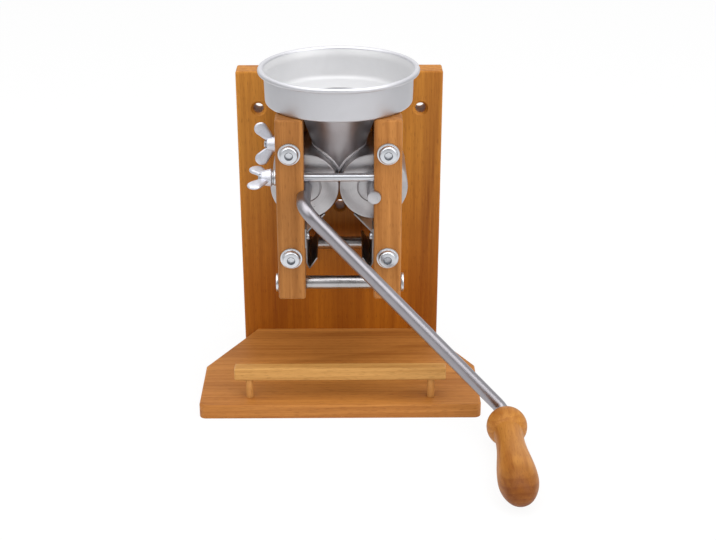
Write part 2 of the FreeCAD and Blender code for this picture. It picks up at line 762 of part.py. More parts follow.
def make_roller(side_name):
    """A roller, its two thrust washers and, on the right, its shaft."""
    x = AXIS_X * SIDES[side_name]
    front = CHAMBER_Y - s.roller_long / 2
    body = new_body(f"{side_name}_roller_body", x=x, y=CHAMBER_Y, z=s.roller_height)
    outline = new_sketch(body, "XZ_Plane", "RollerOutline")
    add_circle(outline, 0, 0, s.roller_dia)
    drum = pad(body, outline, s.roller_long, "Drum", both=True)
    dress(body, "Chamfer", drum, s.roller_chamfer)
    bore = new_sketch(body, "XZ_Plane", "BorePlace")
    add_circle(bore, 0, 0, s.shaft_dia)
    pocket(body, bore, "Bore")
    keep(f"{side_name}_roller", body)
    starts = (front - s.thrust_washer_thick, front + s.roller_long)
    group(f"{side_name}_thrust_washers",
          [ring(f"{side_name}_thrust_washer{number}", s.thrust_washer_dia, s.shaft_dia,
                s.thrust_washer_thick, x=x, y=y, z=s.roller_height, **TO_BACK)
           for number, y in enumerate(starts)])


def make_right_shaft():
    start = CHEEK_FRONT - s.shaft_proud
    end = REAR_Y + s.bar_side / 2 - s.shaft_rear_gap
    body = new_body("right_shaft_body", x=AXIS_X, y=start, z=s.roller_height, **TO_BACK)
    outline = new_sketch(body, "XY_Plane", "ShaftOutline")
    add_circle(outline, 0, 0, s.shaft_dia)
    bar = pad(body, outline, end - start, "Shaft")
    dress(body, "Chamfer", bar, s.shaft_chamfer)
    keep("right_shaft", body)


def make_crank_rod():
    """The left roller's shaft, bent round into the arm and the pin of the grip."""
    start = REAR_Y + s.bar_side / 2 - s.shaft_rear_gap
    end = GRIP_Y - s.grip_pin_long
    body = new_body("crank_rod_body", x=-AXIS_X, z=s.roller_height, axis=(0, 1, 0), angle=ARM_TURN)
    path = new_sketch(body, "XY_Plane", "RodPath")
    near, far = s.crank_near_bend * BEND_SHARE, s.crank_far_bend * BEND_SHARE
    along, across = cosine(s.crank_lean), sine(s.crank_lean)
    points = [(0, start), (0, ARM_Y + near), (near * along, ARM_Y - near * across),
              (s.crank_reach - far * along, ARM_END_Y + far * across), (s.crank_reach, ARM_END_Y - far),
              (s.crank_reach, end)]
    bends = {1: (s.crank_near_bend, True), 3: (s.crank_far_bend, False)}
    add_path(path, points, bends)
    outline = new_sketch(body, "XZ_Plane", "RodSection", -start)
    add_circle(outline, 0, 0, s.shaft_dia)
    doc.recompute()
    rod = body.newObject("PartDesign::AdditivePipe", "BentRod")
    rod.Profile = outline
    rod.Spine = (path, [])
    doc.recompute()
    dress(body, "Chamfer", rod, s.shaft_chamfer, flat_ring)
    thread = new_sketch(body, "XZ_Plane", "ScrewPlace", -end)
    add_circle(thread, s.crank_reach, 0, s.grip_screw_dia)
    pocket(body, thread, "ScrewThread", s.grip_screw_long + 1)
    keep("crank_rod", body)


def flat_ring(edge):
    """Accepts the rod's two end edges."""
    ends = (float(REAR_Y + s.bar_side / 2 - s.shaft_rear_gap), float(GRIP_Y - s.grip_pin_long))
    box = edge.BoundBox
    return box.YLength < 0.01 and any(abs(box.YMin - y) < 0.05 for y in ends)


def add_path(sketch, points, arcs):
    """An open line of straights and bends through the given points."""
    ends = []
    for number, (start, end) in enumerate(zip(points, points[1:])):
        if number in arcs:
            ends.append(add_arc(sketch, start, end, *arcs[number]))
        else:
            ends.append((sketch.addGeometry(Part.LineSegment(vector(*start), vector(*end)), False), (1, 2)))
    for number, (index, (first, _)) in enumerate(ends):
        if number:
            before, (_, last) = ends[number - 1]
            sketch.addConstraint(Sketcher.Constraint("Coincident", before, last, index, first))
        pin_point(sketch, index, first, *points[number])
    index, (_, last) = ends[-1]
    pin_point(sketch, index, last, *points[-1])


def make_grip():
    """The turned grip, bored from both ends, with its plug, washer and screw."""
    where = {"x": GRIP_X, "y": GRIP_Y, "z": GRIP_Z}
    ball, flat = s.grip_ball_radius, s.grip_ball_radius * 0.44
    neck, bulge = s.grip_neck_radius, s.grip_bulge_radius
    bore, well = s.shaft_dia / 2 + s.grip_bore_clearance, s.grip_well_dia / 2
    start = ball - root(ball * ball - flat * flat)
    fork = neck + 0.4
    fork_at = ball + root(ball * ball - fork * fork)
    run, rise = s.grip_bulge_at - s.grip_neck_at, bulge - neck
    sweep = (run * run + rise * rise) / (4 * rise)
    cap, cap_high = bulge - s.grip_cap_step, s.grip_cap_high
    cap_radius = (cap * cap + cap_high * cap_high) / (2 * cap_high)
    cap_mid = s.grip_long - cap_radius
    well_end = cap_mid + root(cap_radius * cap_radius - well * well)
    floor = s.grip_pin_long - s.grip_washer_gap
    wood = new_body("crank_grip_body", **where, **TO_FRONT)
    outline = new_sketch(wood, "XZ_Plane", "GripProfile")
    points = [(bore, start), (flat, start), (fork, fork_at), (neck, s.grip_neck_at),
              (neck + rise / 2, s.grip_neck_at + run / 2), (bulge, s.grip_bulge_at),
              (cap, s.grip_long - cap_high), (well, well_end), (well, floor), (bore, floor)]
    arcs = {1: (ball, True), 2: (sweep, False), 3: (sweep, False), 4: (sweep, True),
            5: (s.grip_end_radius, True), 6: (cap_radius, True)}
    add_outline(outline, points, arcs)
    revolve(wood, outline)
    keep("crank_grip", wood)
    plug = new_body("grip_plug_body", **where, **TO_FRONT)
    outline = new_sketch(plug, "XZ_Plane", "PlugProfile")
    back = s.grip_long - s.grip_plug_long
    points = [(0, back), (well, back), (well, well_end), (0, s.grip_long)]
    add_outline(outline, points, {2: (cap_radius, True)})
    revolve(plug, outline)
    keep("grip_plug", plug)
    where["y"] = GRIP_Y - s.grip_pin_long
    keep("grip_washer", ring("grip_washer_ring", s.grip_washer_dia, s.grip_screw_dia + 0.2,
                             s.grip_washer_thick, **where, **TO_FRONT))
    where["y"] = where["y"] - s.grip_washer_thick
    head = (s.grip_screw_head_dia, s.grip_screw_head_high)
    keep("grip_screw", socket_bolt("grip_screw", s.grip_screw_dia, s.grip_screw_long, head,
                                   s.tie_screw_socket, True, **where, **TO_BACK))


def make_hopper():
    """The spun dish with its rolled rim, and the funnel that reaches down between the rollers."""
    where = {"y": CHAMBER_Y, "z": BAR_TOP + s.hopper_seat_gap}
    top, bead = s.hopper_deep, s.hopper_bead_radius
    rim_x = s.hopper_rim_dia / 2 - bead
    wall, floor, sheet = HOPPER_WALL, HOPPER_WALL - s.hopper_draft, s.hopper_sheet
    mouth = s.funnel_throat_dia / 2
    throat = mouth - sheet / cosine(s.funnel_slope)
    lap = wall + s.hopper_bead_gap + s.hopper_bead_lap
    lap_z = top - bead - root(bead * bead - (rim_x - lap) * (rim_x - lap))
    dish = new_body("hopper_dish_body", **where)
    outline = new_sketch(dish, "XZ_Plane", "DishProfile")
    points = [(throat, 0), (floor, 0), (wall, lap_z), (lap, lap_z),
              (rim_x, top - bead * 2), (rim_x + bead, top - bead), (rim_x, top),
              (wall - sheet, top), (floor - sheet, sheet), (throat, sheet)]
    add_outline(outline, points, {number: (bead, True) for number in (3, 4, 5)})
    spun = revolve(dish, outline)
    bottom = dress(dish, "Fillet", spun, s.hopper_corner_round, ring_at(floor, 0))
    inside = dress(dish, "Fillet", bottom, s.hopper_inner_round, ring_at(floor - sheet, sheet))
    lip = dress(dish, "Fillet", inside, bead * 0.9, ring_at(wall - sheet, top))
    dress(dish, "Fillet", lip, sheet * 0.8, ring_at(throat, sheet))
    keep("hopper_dish", dish)
    cone = new_body("hopper_funnel_body", **where)
    outline = new_sketch(cone, "XZ_Plane", "FunnelProfile")
    drop = BAR_TOP + s.hopper_seat_gap - s.roller_height - s.funnel_tip_lift
    shrink = drop * tangent(s.funnel_slope)
    add_outline(outline, [(throat, 0), (throat - shrink, -drop), (mouth - shrink, -drop), (mouth, 0)])
    revolve(cone, outline)
    saddle = new_sketch(cone, "XZ_Plane", "RollerSaddles")
    for side in (-1, 1):
        add_circle(saddle, AXIS_X * side, s.roller_height - BAR_TOP - s.hopper_seat_gap,
                   s.roller_dia + s.saddle_clearance * 2)
    pocket(cone, saddle, "SaddleCuts")
    keep("hopper_funnel", cone)


def ring_at(radius, height):
    """Makes a test that accepts the round edge of a given radius at a given height of a turned body."""
    def accept(edge):
        curve = edge.Curve
        if not isinstance(curve, Part.Circle):
            return False
        middle = curve.Center
        return abs(curve.Radius - float(radius)) < 0.02 and abs(middle.z - float(height)) < 0.02
    return accept


def make_scraper(side_name):
    """A bent sheet that scrapes its roller, guards the cheek, and is screwed to the bars' inner faces."""
    side = SIDES[side_name]
    sheet = s.scraper_sheet
    reach = s.roller_dia / 2 + s.scraper_touch_gap
    angle = s.scraper_touch_angle
    tip_x, tip_z = AXIS_X - reach * cosine(angle), s.roller_height - reach * sine(angle)
    bend, foot = SCRAPER_Z - s.scraper_bend_drop, SCRAPER_Z - s.scraper_foot_drop
    fold_x, fold_z = AXIS_X - s.scraper_fold_in, SCRAPER_Z - s.scraper_fold_drop
    lip_x, lip_z = AXIS_X - s.scraper_lip_in, SCRAPER_Z - s.scraper_lip_drop
    edge = sheet * 0.7
    outer = [(tip_x, tip_z), (AXIS_X, bend), (AXIS_X, foot), (fold_x, fold_z), (lip_x, lip_z)]
    inner = [(lip_x + edge * 1.1, lip_z + edge * 0.9), (fold_x - edge * 0.1, fold_z + sheet * 1.7),
             (AXIS_X - sheet, foot + sheet * 0.2), (AXIS_X - sheet, bend - sheet * 0.4),
             (tip_x - edge, tip_z - edge)]
    body = new_body(f"{side_name}_scraper_body", y=CHAMBER_Y)
    outline = new_sketch(body, "XZ_Plane", "ScraperProfile")
    add_outline(outline, [(x * side, z) for x, z in outer + inner])
    pad(body, outline, s.chamber_deep - s.scraper_end_gap * 2, "Blade", both=True)
    ears = new_sketch(body, "YZ_Plane", "EarOutlines", AXIS_X * side)
    half, high = s.chamber_deep / 2 - s.scraper_end_gap, s.scraper_ear_high / 2
    far = s.chamber_deep / 2 + s.bar_side / 2 + s.scraper_ear_end
    low, up = SCRAPER_Z - high, SCRAPER_Z + high
    for way in (-1, 1):
        points = [(half * way, low), (far * way, low), (far * way, up), (half * way, up)]
        add_outline(ears, points)
    pad(body, ears, sheet, "Ears", back=side > 0)
    holes = new_sketch(body, "YZ_Plane", "ScrewPlaces", AXIS_X * side)
    for way in (-1, 1):
        add_circle(holes, (s.chamber_deep + s.bar_side) / 2 * way, SCRAPER_Z, s.scraper_screw_dia)
    pocket(body, holes, "ScrewHoles")
    keep(f"{side_name}_scraper", body)
    head = (s.scraper_screw_head_dia, s.scraper_screw_head_high)
    turn = TO_LEFT if side < 0 else TO_RIGHT
    screws = [socket_bolt(f"{side_name}_{row_name}_scraper_screw", s.scraper_screw_dia,
                          s.scraper_screw_long, head, s.scraper_screw_socket, True,
                          x=(AXIS_X - sheet) * side, y=y, z=SCRAPER_Z, **turn)
              for row_name, y in ROWS.items()]
    group(f"{side_name}_scraper_screws", screws)


make_back_board()
make_base_board()
make_base_screws()
make_bowl_rail()
for side_name in SIDES:
    for row_name in ROWS:
        make_bar(side_name, row_name)
    make_frame_bolts(side_name)
    make_roller(side_name)
    make_scraper(side_name)
make_tie_rods()
make_clamps()
make_wing_nut("front", s.front_nut_turn)
make_wing_nut("rear", 0)
make_right_shaft()
make_crank_rod()
make_grip()
make_hopper()
doc.recompute()


def check_and_export():
    """Stops on any failed object, then writes one file for each sub-part."""
    failed = [item.Name for item in doc.Objects if {"Invalid", "Error"} & set(item.State)]
    if failed:
        raise RuntimeError(f"failed objects: {failed}")
    for label, item in parts.items():
        if item.Shape.isNull() or not item.Shape.isValid():
            raise RuntimeError(f"bad shape: {label}")
    os.makedirs("parts", exist_ok=True)
    for label, item in parts.items():
        item.Shape.exportStep(f"parts/{label}.step")
        box = item.Shape.BoundBox
        spans = [f"{low:.1f} {high:.1f}" for low, high in ((box.XMin, box.XMax), (box.YMin, box.YMax),
                                                           (box.ZMin, box.ZMax))]
        print(f"{label}: {len(item.Shape.Solids)} solids, {item.Shape.Volume:.0f} mm3, {spans}")


check_and_export()
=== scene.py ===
"""Dresses the hand-cranked grain flaker: oiled wood, satin steel, spun aluminium and bright zinc.

Sizes are in millimetres until a mesh is made. X runs to the right between the rollers, Y to the back, Z up,
and the origin is on the table, below the middle of the back board's front face.
"""
from __future__ import annotations

import logging
import math
from dataclasses import dataclass, field, replace
from enum import Enum

import bmesh
import bpy
import numpy as np
from mathutils import Matrix


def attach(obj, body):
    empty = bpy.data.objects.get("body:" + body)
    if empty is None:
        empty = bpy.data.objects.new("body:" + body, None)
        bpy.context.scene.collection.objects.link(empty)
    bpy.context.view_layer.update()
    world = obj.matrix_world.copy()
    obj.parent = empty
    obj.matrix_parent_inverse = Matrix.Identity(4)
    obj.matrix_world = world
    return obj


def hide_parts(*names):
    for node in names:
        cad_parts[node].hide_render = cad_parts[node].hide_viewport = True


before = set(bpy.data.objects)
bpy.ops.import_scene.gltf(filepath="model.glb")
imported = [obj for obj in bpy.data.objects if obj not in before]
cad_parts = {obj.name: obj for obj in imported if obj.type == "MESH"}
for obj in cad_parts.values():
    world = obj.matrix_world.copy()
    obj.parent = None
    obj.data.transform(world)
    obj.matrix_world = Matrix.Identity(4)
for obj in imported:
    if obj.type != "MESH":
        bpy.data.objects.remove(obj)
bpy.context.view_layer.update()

LOG = logging.getLogger("grain_flaker")
Array = np.ndarray
Triple = tuple[float, float, float]
Socket = bpy.types.NodeSocket
MM = 0.001
WELD = 1e-6
FULL_TURN = 2 * math.pi
SIGNS = {"left": -1, "right": 1}


class Axis(Enum):
    """A direction of the frame, as a unit vector."""

    RIGHT = (1.0, 0.0, 0.0)
    LEFT = (-1.0, 0.0, 0.0)
    BACK = (0.0, 1.0, 0.0)
    FRONT = (0.0, -1.0, 0.0)
    UP = (0.0, 0.0, 1.0)

    def number(self) -> int:
        """The axis's place among X, Y and Z."""
        return int(np.argmax(np.abs(self.value)))

    def stretch(self, across: float, lengthwise: float) -> Triple:
        """A pattern's scales, with one value along the axis and another across it."""
        return tuple(float(lengthwise if i == self.number() else across) for i in range(3))

    def circle(self, angle: Array) -> Array:
        """Unit vectors round the axis: cos(angle) * across + sin(angle) * other.

        Args:
            angle: The angles, in radians.

        Returns:
            A row for each angle. The axis is across times other.
        """
        across = np.array(Axis.RIGHT.value if self is Axis.UP else Axis.UP.value)
        other = np.cross(self.value, across)
        return np.cos(angle)[:, None] * across + np.sin(angle)[:, None] * other


class Lay(Enum):
    """The way in which a metal surface was worked."""

    TURNED = "turned"
    DRAWN = "drawn"
    PLATED = "plated"


class Graph:
    """Adds and joins the nodes of one shader tree."""

    def __init__(self, tree: bpy.types.NodeTree) -> None:
        """Empties the tree.

        Args:
            tree: The tree to fill.
        """
        self.tree = tree
        self.tree.nodes.clear()

    def add(self, kind: str, **settings: object) -> bpy.types.Node:
        """Adds a node.

        Args:
            kind: The node's type, without the words that all shader nodes share.
            settings: Values for its properties.

        Returns:
            The node.
        """
        node = self.tree.nodes.new(f"ShaderNode{kind}")
        for name, value in settings.items():
            setattr(node, name, value)
        return node

    def feed(self, target: Socket, value: object) -> None:
        """Links an output to an input, or gives the input a value of its own.

        Args:
            target: The input.
            value: An output, a number, a vector or a colour.
        """
        if isinstance(value, Socket):
            self.tree.links.new(value, target)
        else:
            target.default_value = (*value, 1.0) if target.type == "RGBA" else value

    def math(self, operation: str, *values: Socket | float, clamp: bool = False) -> Socket:
        """The result of a maths node.

        Args:
            operation: What it works out.
            values: One to three outputs or numbers.
            clamp: Whether the result stays between 0 and 1.

        Returns:
            The output.
        """
        node = self.add("Math", operation=operation, use_clamp=clamp)
        for target, value in zip(node.inputs, values):
            self.feed(target, value)
        return node.outputs[0]

    def blend(self, *parts: tuple[Socket, float]) -> Socket:
        """The weighted sum of several values.

        Args:
            parts: Each value with its weight.

        Returns:
            The output.
        """
        total: Socket | float = 0.0
        for value, weight in parts:
            total = self.math("MULTIPLY_ADD", value, weight, total)
        return total

    def split(self, vector: Socket) -> list[Socket]:
        """The three parts of a vector."""
        node = self.add("SeparateXYZ")
        self.feed(node.inputs[0], vector)
        return list(node.outputs)

    def mix_shaders(self, factor: Socket, first: Socket, second: Socket) -> Socket:
        """Mixes two shaders.

        Args:
            factor: The share of the second.
            first: The first shader.
            second: The second shader.

        Returns:
            The mixed shader.
        """
        node = self.add("MixShader")
        for target, value in zip(node.inputs, (factor, first, second)):
            self.feed(target, value)
        return node.outputs[0]


class Nodes(Graph):
    """The nodes of one material, round its main shader."""

    def __init__(self, name: str) -> None:
        """Starts a material.

        Args:
            name: The material's name.
        """
        self.material = bpy.data.materials.new(name)
        self.material.use_nodes = True
        super().__init__(self.material.node_tree)
        self.output = self.add("OutputMaterial")
        self.shader = self.add("BsdfPrincipled")
        self.feed(self.output.inputs[0], self.shader.outputs[0])

    def set(self, name: str, value: object) -> None:
        """Sets one of the shader's own sockets, or links an output to it."""
        self.feed(self.shader.inputs[name], value)

    def coordinates(self, scale: Triple = (1.0, 1.0, 1.0), shift: Triple = (0.0, 0.0, 0.0),
                    turn: Triple = (0.0, 0.0, 0.0)) -> Socket:
        """Object coordinates, shifted, turned and scaled.

        Args:
            scale: The factor along each axis.
            shift: The shift of the pattern in metres, before the scale.
            turn: The turn of the pattern in radians, before the scale.

        Returns:
            The vector output.
        """
        moved, scaled = self.add("Mapping"), self.add("VectorMath", operation="MULTIPLY")
        self.feed(moved.inputs["Vector"], self.add("TexCoord").outputs["Object"])
        self.feed(moved.inputs["Location"], shift)
        self.feed(moved.inputs["Rotation"], turn)
        self.feed(scaled.inputs[0], moved.outputs[0])
        self.feed(scaled.inputs[1], scale)
        return scaled.outputs[0]

    def noise(self, vector: Socket, detail: float = 3.0, distortion: float = 0.0) -> Socket:
        """A noise texture's value.

        Args:
            vector: Where it is read.
            detail: How many finer layers it has.
            distortion: How much it is warped.

        Returns:
            The output.
        """
        node = self.add("TexNoise")
        for name, value in (("Scale", 1.0), ("Detail", detail), ("Distortion", distortion), ("Vector", vector)):
            self.feed(node.inputs[name], value)
        return node.outputs["Fac"]

    def polar(self, axis: Axis, shift: Triple, turn: Triple = (0.0, 0.0, 0.0)) -> tuple[Socket, Socket]:
        """The distance from an axis, which is the root of the sum of two squares, and the place along it.

        Args:
            axis: The axis.
            shift: How far the axis is moved to zero, in metres.
            turn: How far it is turned, in radians.

        Returns:
            The two outputs.
        """
        parts = self.split(self.coordinates(shift=shift, turn=turn))
        along = parts.pop(axis.number())
        squares = [self.math("MULTIPLY", part, part) for part in parts]
        return self.math("SQRT", self.math("ADD", *squares)), along

    def ramp(self, value: Socket, *stops: tuple[float, Triple]) -> Socket:
        """A colour ramp between two stops.

        Args:
            value: The value from 0 to 1.
            stops: The two places on the ramp, each with its colour.

        Returns:
            The colour output.
        """
        node = self.add("ValToRGB")
        for element, (place, colour) in zip(node.color_ramp.elements, stops):
            element.position = place
            element.color = (*colour, 1.0)
        self.feed(node.inputs[0], value)
        return node.outputs["Color"]

    def mix(self, factor: Socket | float, first: Socket, second: Socket | Triple, mode: str = "MIX") -> Socket:
        """Mixes two colours.

        Args:
            factor: The share of the second.
            first: The first colour.
            second: The second colour.
            mode: How they are mixed.

        Returns:
            The colour output.
        """
        node = self.add("Mix", data_type="RGBA", blend_type=mode)
        for number, value in ((0, factor), (6, first), (7, second)):
            self.feed(node.inputs[number], value)
        return node.outputs[2]

    def bump(self, height: Socket, strength: float) -> None:
        """Raises the surface by a height.

        Args:
            height: The height from 0 to 1.
            strength: The share of the full height that is used.
        """
        node = self.add("Bump")
        for name, value in (("Strength", strength), ("Distance", 0.3 * MM), ("Height", height)):
            self.feed(node.inputs[name], value)
        self.set("Normal", node.outputs[0])


@dataclass(frozen=True)
class Wood:
    """Oiled hardwood: broad bands, long lines and short dark rays along the grain, with faint growth rings.

    Attributes:
        name: The material's name.
        grain: The way the fibres run.
        light: The colour between the bands.
        dark: The colour of the bands.
        shift: Where in the tree the piece was cut, in metres.
        band: How many bands there are in a metre, about.
        figure: How much the growth rings show.
        ring: The width of a growth ring in millimetres.
        rays: How much the short rays show.
        roughness: The roughness of the oiled surface.
        fade: Where a darker stretch starts and ends along the grain, in metres, and its strength; on the board,
            painted shade.
        deep: The factor of the colour in the darker stretch.
    """

    name: str
    grain: Axis
    light: Triple
    dark: Triple
    shift: Triple
    band: float = 55.0
    figure: float = 0.16
    ring: float = 6.0
    rays: float = 0.3
    roughness: float = 0.52
    fade: Triple = (0.0, 1.0, 0.0)
    deep: Triple = (1.0, 1.0, 1.0)

    def streaks(self, nodes: Nodes, across: float, lengthwise: float, detail: float, warp: float = 0.0) -> Socket:
        """Noise that is drawn out along the grain.

        Args:
            nodes: The material's nodes.
            across: How often it changes in a metre across the grain.
            lengthwise: How often it changes in a metre along the grain.
            detail: How many finer layers it has.
            warp: How much it is warped.

        Returns:
            The output.
        """
        place = nodes.coordinates(self.grain.stretch(across, lengthwise), self.shift)
        return nodes.noise(place, detail, warp)

    def rings(self, nodes: Nodes) -> Socket:
        """Growth rings: the square of a ring's share left over by the wavering distance from the pith.

        Args:
            nodes: The material's nodes.

        Returns:
            The output, which falls back to zero at the end of each ring.
        """
        radius, _ = nodes.polar(self.grain, self.shift, (0.02, 0.03, 0.01))
        wander = self.streaks(nodes, 20, 2, 2.0)
        wavering = nodes.math("MULTIPLY_ADD", wander, 0.012, radius)
        share = nodes.math("FRACT", nodes.math("MULTIPLY", wavering, 1 / (self.ring * MM)))
        falling = nodes.math("SUBTRACT", 1.0, nodes.math("POWER", share, 12.0))
        return nodes.math("MULTIPLY", nodes.math("POWER", share, 2.0), falling)

    def faded(self, nodes: Nodes, colour: Socket) -> Socket:
        """The colour with the darker stretch of the piece, which on the back board is painted shade of the mill.

        Args:
            nodes: The material's nodes.
            colour: The wood's colour.

        Returns:
            The colour output.
        """
        low, high, amount = self.fade
        place = nodes.split(nodes.coordinates())[self.grain.number()]
        climb = nodes.math("DIVIDE", nodes.math("SUBTRACT", place, low), high - low, clamp=True)
        share = nodes.math("MULTIPLY", nodes.math("SUBTRACT", 1.0, climb), amount)
        return nodes.mix(share, colour, nodes.mix(1.0, colour, self.deep, "MULTIPLY"))

    def build(self) -> bpy.types.Material:
        """Makes the material.

        Returns:
            The wood, with its fibres along the grain.
        """
        nodes = Nodes(self.name)
        bands = self.streaks(nodes, self.band, 2.2, 2.0, 0.3)
        lines = self.streaks(nodes, 310, 4, 3.0, 0.2)
        fibres = self.streaks(nodes, 1300, 40, 2.0)
        rays = nodes.math("MULTIPLY", nodes.math("SUBTRACT", self.streaks(nodes, 1700, 170, 0.0), 0.62), 9.0,
                          clamp=True)
        tone = nodes.blend((bands, 0.55), (lines, 0.45), (fibres, 0.25), (self.rings(nodes), self.figure))
        colour = nodes.ramp(tone, (0.42, self.light), (0.92, self.dark))
        colour = nodes.mix(nodes.math("MULTIPLY", rays, self.rays), colour, tuple(v * 0.6 for v in self.dark))
        nodes.set("Base Color", self.faded(nodes, colour) if self.fade[2] else colour)
        nodes.set("Roughness", nodes.math("MULTIPLY_ADD", lines, 0.16, self.roughness - 0.08))
        nodes.set("Specular IOR Level", 0.2)
        nodes.bump(nodes.blend((fibres, 0.5), (lines, 0.5)), 0.12)
        return nodes.material


@dataclass(frozen=True)
class Metal:
    """Bare or plated metal with the marks of its making.

    Attributes:
        name: The material's name.
        colour: The colour of the clean metal.
        roughness: The roughness of the marked surface.
        lay: How the surface was worked.
        axis: The axis it was turned about or drawn along.
        centre: A point of that axis, in millimetres.
        marks: How much the marks change the roughness.
        bump: How much the marks stand out.
        stain: How much darker the cloudy spots are.
        matt: The share of the surface that scatters light as paint does.
    """

    name: str
    colour: Triple
    roughness: float
    lay: Lay = Lay.PLATED
    axis: Axis = Axis.BACK
    centre: Triple = (0.0, 0.0, 0.0)
    marks: float = 0.1
    bump: float = 0.06
    stain: float = 0.12
    matt: float = 0.0

    def lines(self, nodes: Nodes, shift: Triple) -> Socket:
        """The marks: rings round the axis, lines along it, or the fine grain of plating.

        Args:
            nodes: The material's nodes.
            shift: The shift of the pattern in metres.

        Returns:
            The output.
        """
        if self.lay is Lay.TURNED:
            joined = nodes.add("CombineXYZ")
            for target, part in zip(joined.inputs, nodes.polar(self.axis, shift)):
                nodes.feed(target, nodes.math("MULTIPLY", part, 2600.0))
            return nodes.noise(joined.outputs[0], 2.0)
        if self.lay is Lay.DRAWN:
            return nodes.noise(nodes.coordinates(self.axis.stretch(2400, 40), shift), 3.0)
        return nodes.noise(nodes.coordinates((420.0, 420.0, 420.0), shift), 4.0, 0.4)

    def build(self) -> bpy.types.Material:
        """Makes the material.

        Returns:
            The metal, with fine lines round or along its axis.
        """
        nodes = Nodes(self.name)
        shift = tuple(-v * MM for v in self.centre)
        lines = self.lines(nodes, shift)
        cloud = nodes.noise(nodes.coordinates((70.0, 70.0, 70.0), shift), 4.0, 0.8)
        tone = nodes.blend((lines, 0.35), (cloud, 0.65))
        darker = tuple(v * (1 - self.stain * 2.2) for v in self.colour)
        nodes.set("Base Color", nodes.ramp(tone, (0.3, darker), (0.62, self.colour)))
        nodes.set("Metallic", 1.0 - self.matt)
        rough = nodes.blend((lines, self.marks), (cloud, self.marks))
        nodes.set("Roughness", nodes.math("ADD", rough, self.roughness - self.marks))
        nodes.bump(lines, self.bump)
        return nodes.material


# Painted shade: the board's fade darkens and reddens it below 0.17 m, standing in for the mill's shadow on its lower
# part.
BOARD_WOOD = Wood("board_oiled_upright", Axis.UP, (0.60, 0.252, 0.035), (0.26, 0.076, 0.007),
                  shift=(0.056, 0.42, 0.11), band=38.0, fade=(0.05, 0.17, 0.8), deep=(0.71, 0.46, 0.03))
BASE_WOOD = Wood("base_oiled_across", Axis.RIGHT, (0.56, 0.235, 0.052), (0.26, 0.080, 0.011),
                 shift=(0.13, 0.09, 0.46), band=48.0)
RAIL_WOOD = Wood("rail_pale_across", Axis.RIGHT, (0.58, 0.31, 0.092), (0.36, 0.153, 0.031),
                 shift=(0.21, 0.19, 0.12), band=90.0, ring=3.4)
DOWEL_WOOD = Wood("dowel_pale_upright", Axis.UP, (0.60, 0.30, 0.09), (0.38, 0.15, 0.03),
                  shift=(0.05, 0.25, 0.12), band=160.0, ring=2.6)
LEFT_BAR_WOOD = Wood("left_bar_oiled_upright", Axis.UP, (0.46, 0.195, 0.050), (0.20, 0.066, 0.010),
                     shift=(0.12, 0.31, 0.05), band=95.0, ring=3.8)
RIGHT_BAR_WOOD = Wood("right_bar_oiled_upright", Axis.UP, (0.52, 0.222, 0.056), (0.24, 0.078, 0.012),
                      shift=(-0.17, 0.36, 0.18), band=95.0, ring=4.1)
GRIP_WOOD = Wood("grip_turned_lengthwise", Axis.FRONT, (0.525, 0.232, 0.042), (0.29, 0.092, 0.012),
                 shift=(-0.125, 0.08, 0.012), band=110.0, ring=3.4, roughness=0.46, fade=(-0.255, -0.232, 1.0),
                 deep=(0.48, 0.36, 0.24))
ZINC = Metal("bright_zinc", (0.70, 0.72, 0.76), 0.30, marks=0.08, stain=0.05, bump=0.03)
CAST_ZINC = Metal("cast_zinc", (0.78, 0.79, 0.86), 0.46, marks=0.16, bump=0.45, stain=0.14)
DARK_ZINC = Metal("dull_zinc", (0.55, 0.55, 0.57), 0.36, marks=0.12)
# Painted shade: a dark zinc laid as a thin skin over the walls of every hexagon socket, for the shade in the recess.
PAINTED_SOCKET_SHADE = Metal("painted_socket_shade_zinc", (0.22, 0.23, 0.25), 0.45)
BRASS = Metal("turned_brass", (0.62, 0.44, 0.16), 0.3)
TIE_STEEL = Metal("drawn_steel_across", (0.52, 0.505, 0.51), 0.28, Lay.DRAWN, Axis.RIGHT, marks=0.14)
ARM_STEEL = Metal("crank_satin_steel", (0.355, 0.34, 0.365), 0.36, marks=0.05, stain=0.05, bump=0.002)
WASHER_STEEL = Metal("ground_washer_steel", (0.55, 0.545, 0.56), 0.42, marks=0.1, stain=0.08)
SPACER_METAL = Metal("drawn_spacer_tube", (0.5, 0.49, 0.5), 0.34, Lay.DRAWN, marks=0.12)
SCRAPER_STEEL = Metal("rolled_sheet_steel", (0.42, 0.41, 0.41), 0.34, Lay.DRAWN, marks=0.12, stain=0.18)
FUNNEL_METAL = Metal("spun_aluminium_funnel", (0.56, 0.53, 0.54), 0.45, Lay.TURNED, Axis.UP, (0, -55.5, 0),
                     marks=0.05, stain=0.05, bump=0.03)
DISH_METAL = Metal("spun_aluminium_dish", (0.66, 0.66, 0.69), 0.5, Lay.TURNED, Axis.UP, (0, -55.5, 0),
                   marks=0.04, stain=0.02, bump=0.03)
BOWL_METAL = replace(DISH_METAL, name="spun_aluminium_inside", colour=(0.64, 0.64, 0.65), matt=0.7)
# Painted highlight: the funnel's rolled edge is the same aluminium, given a near-white, mostly matt colour so that
# it looks lit.
EDGE_HIGHLIGHT_METAL = Metal("painted_highlight_aluminium_edge", (0.93, 0.91, 0.94), 0.34, marks=0.05, stain=0.03, matt=0.6)


class Shelf:
    """Holds the built materials by name."""

    def __init__(self) -> None:
        """Starts empty."""
        self.built: dict[str, bpy.types.Material] = {}

    def get(self, finish: Wood | Metal) -> bpy.types.Material:
        """The material of a finish, built on its first use.

        Args:
            finish: The wood or metal.

        Returns:
            The material.
        """
        if finish.name not in self.built:
            self.built[finish.name] = finish.build()
        return self.built[finish.name]


SHELF = Shelf()


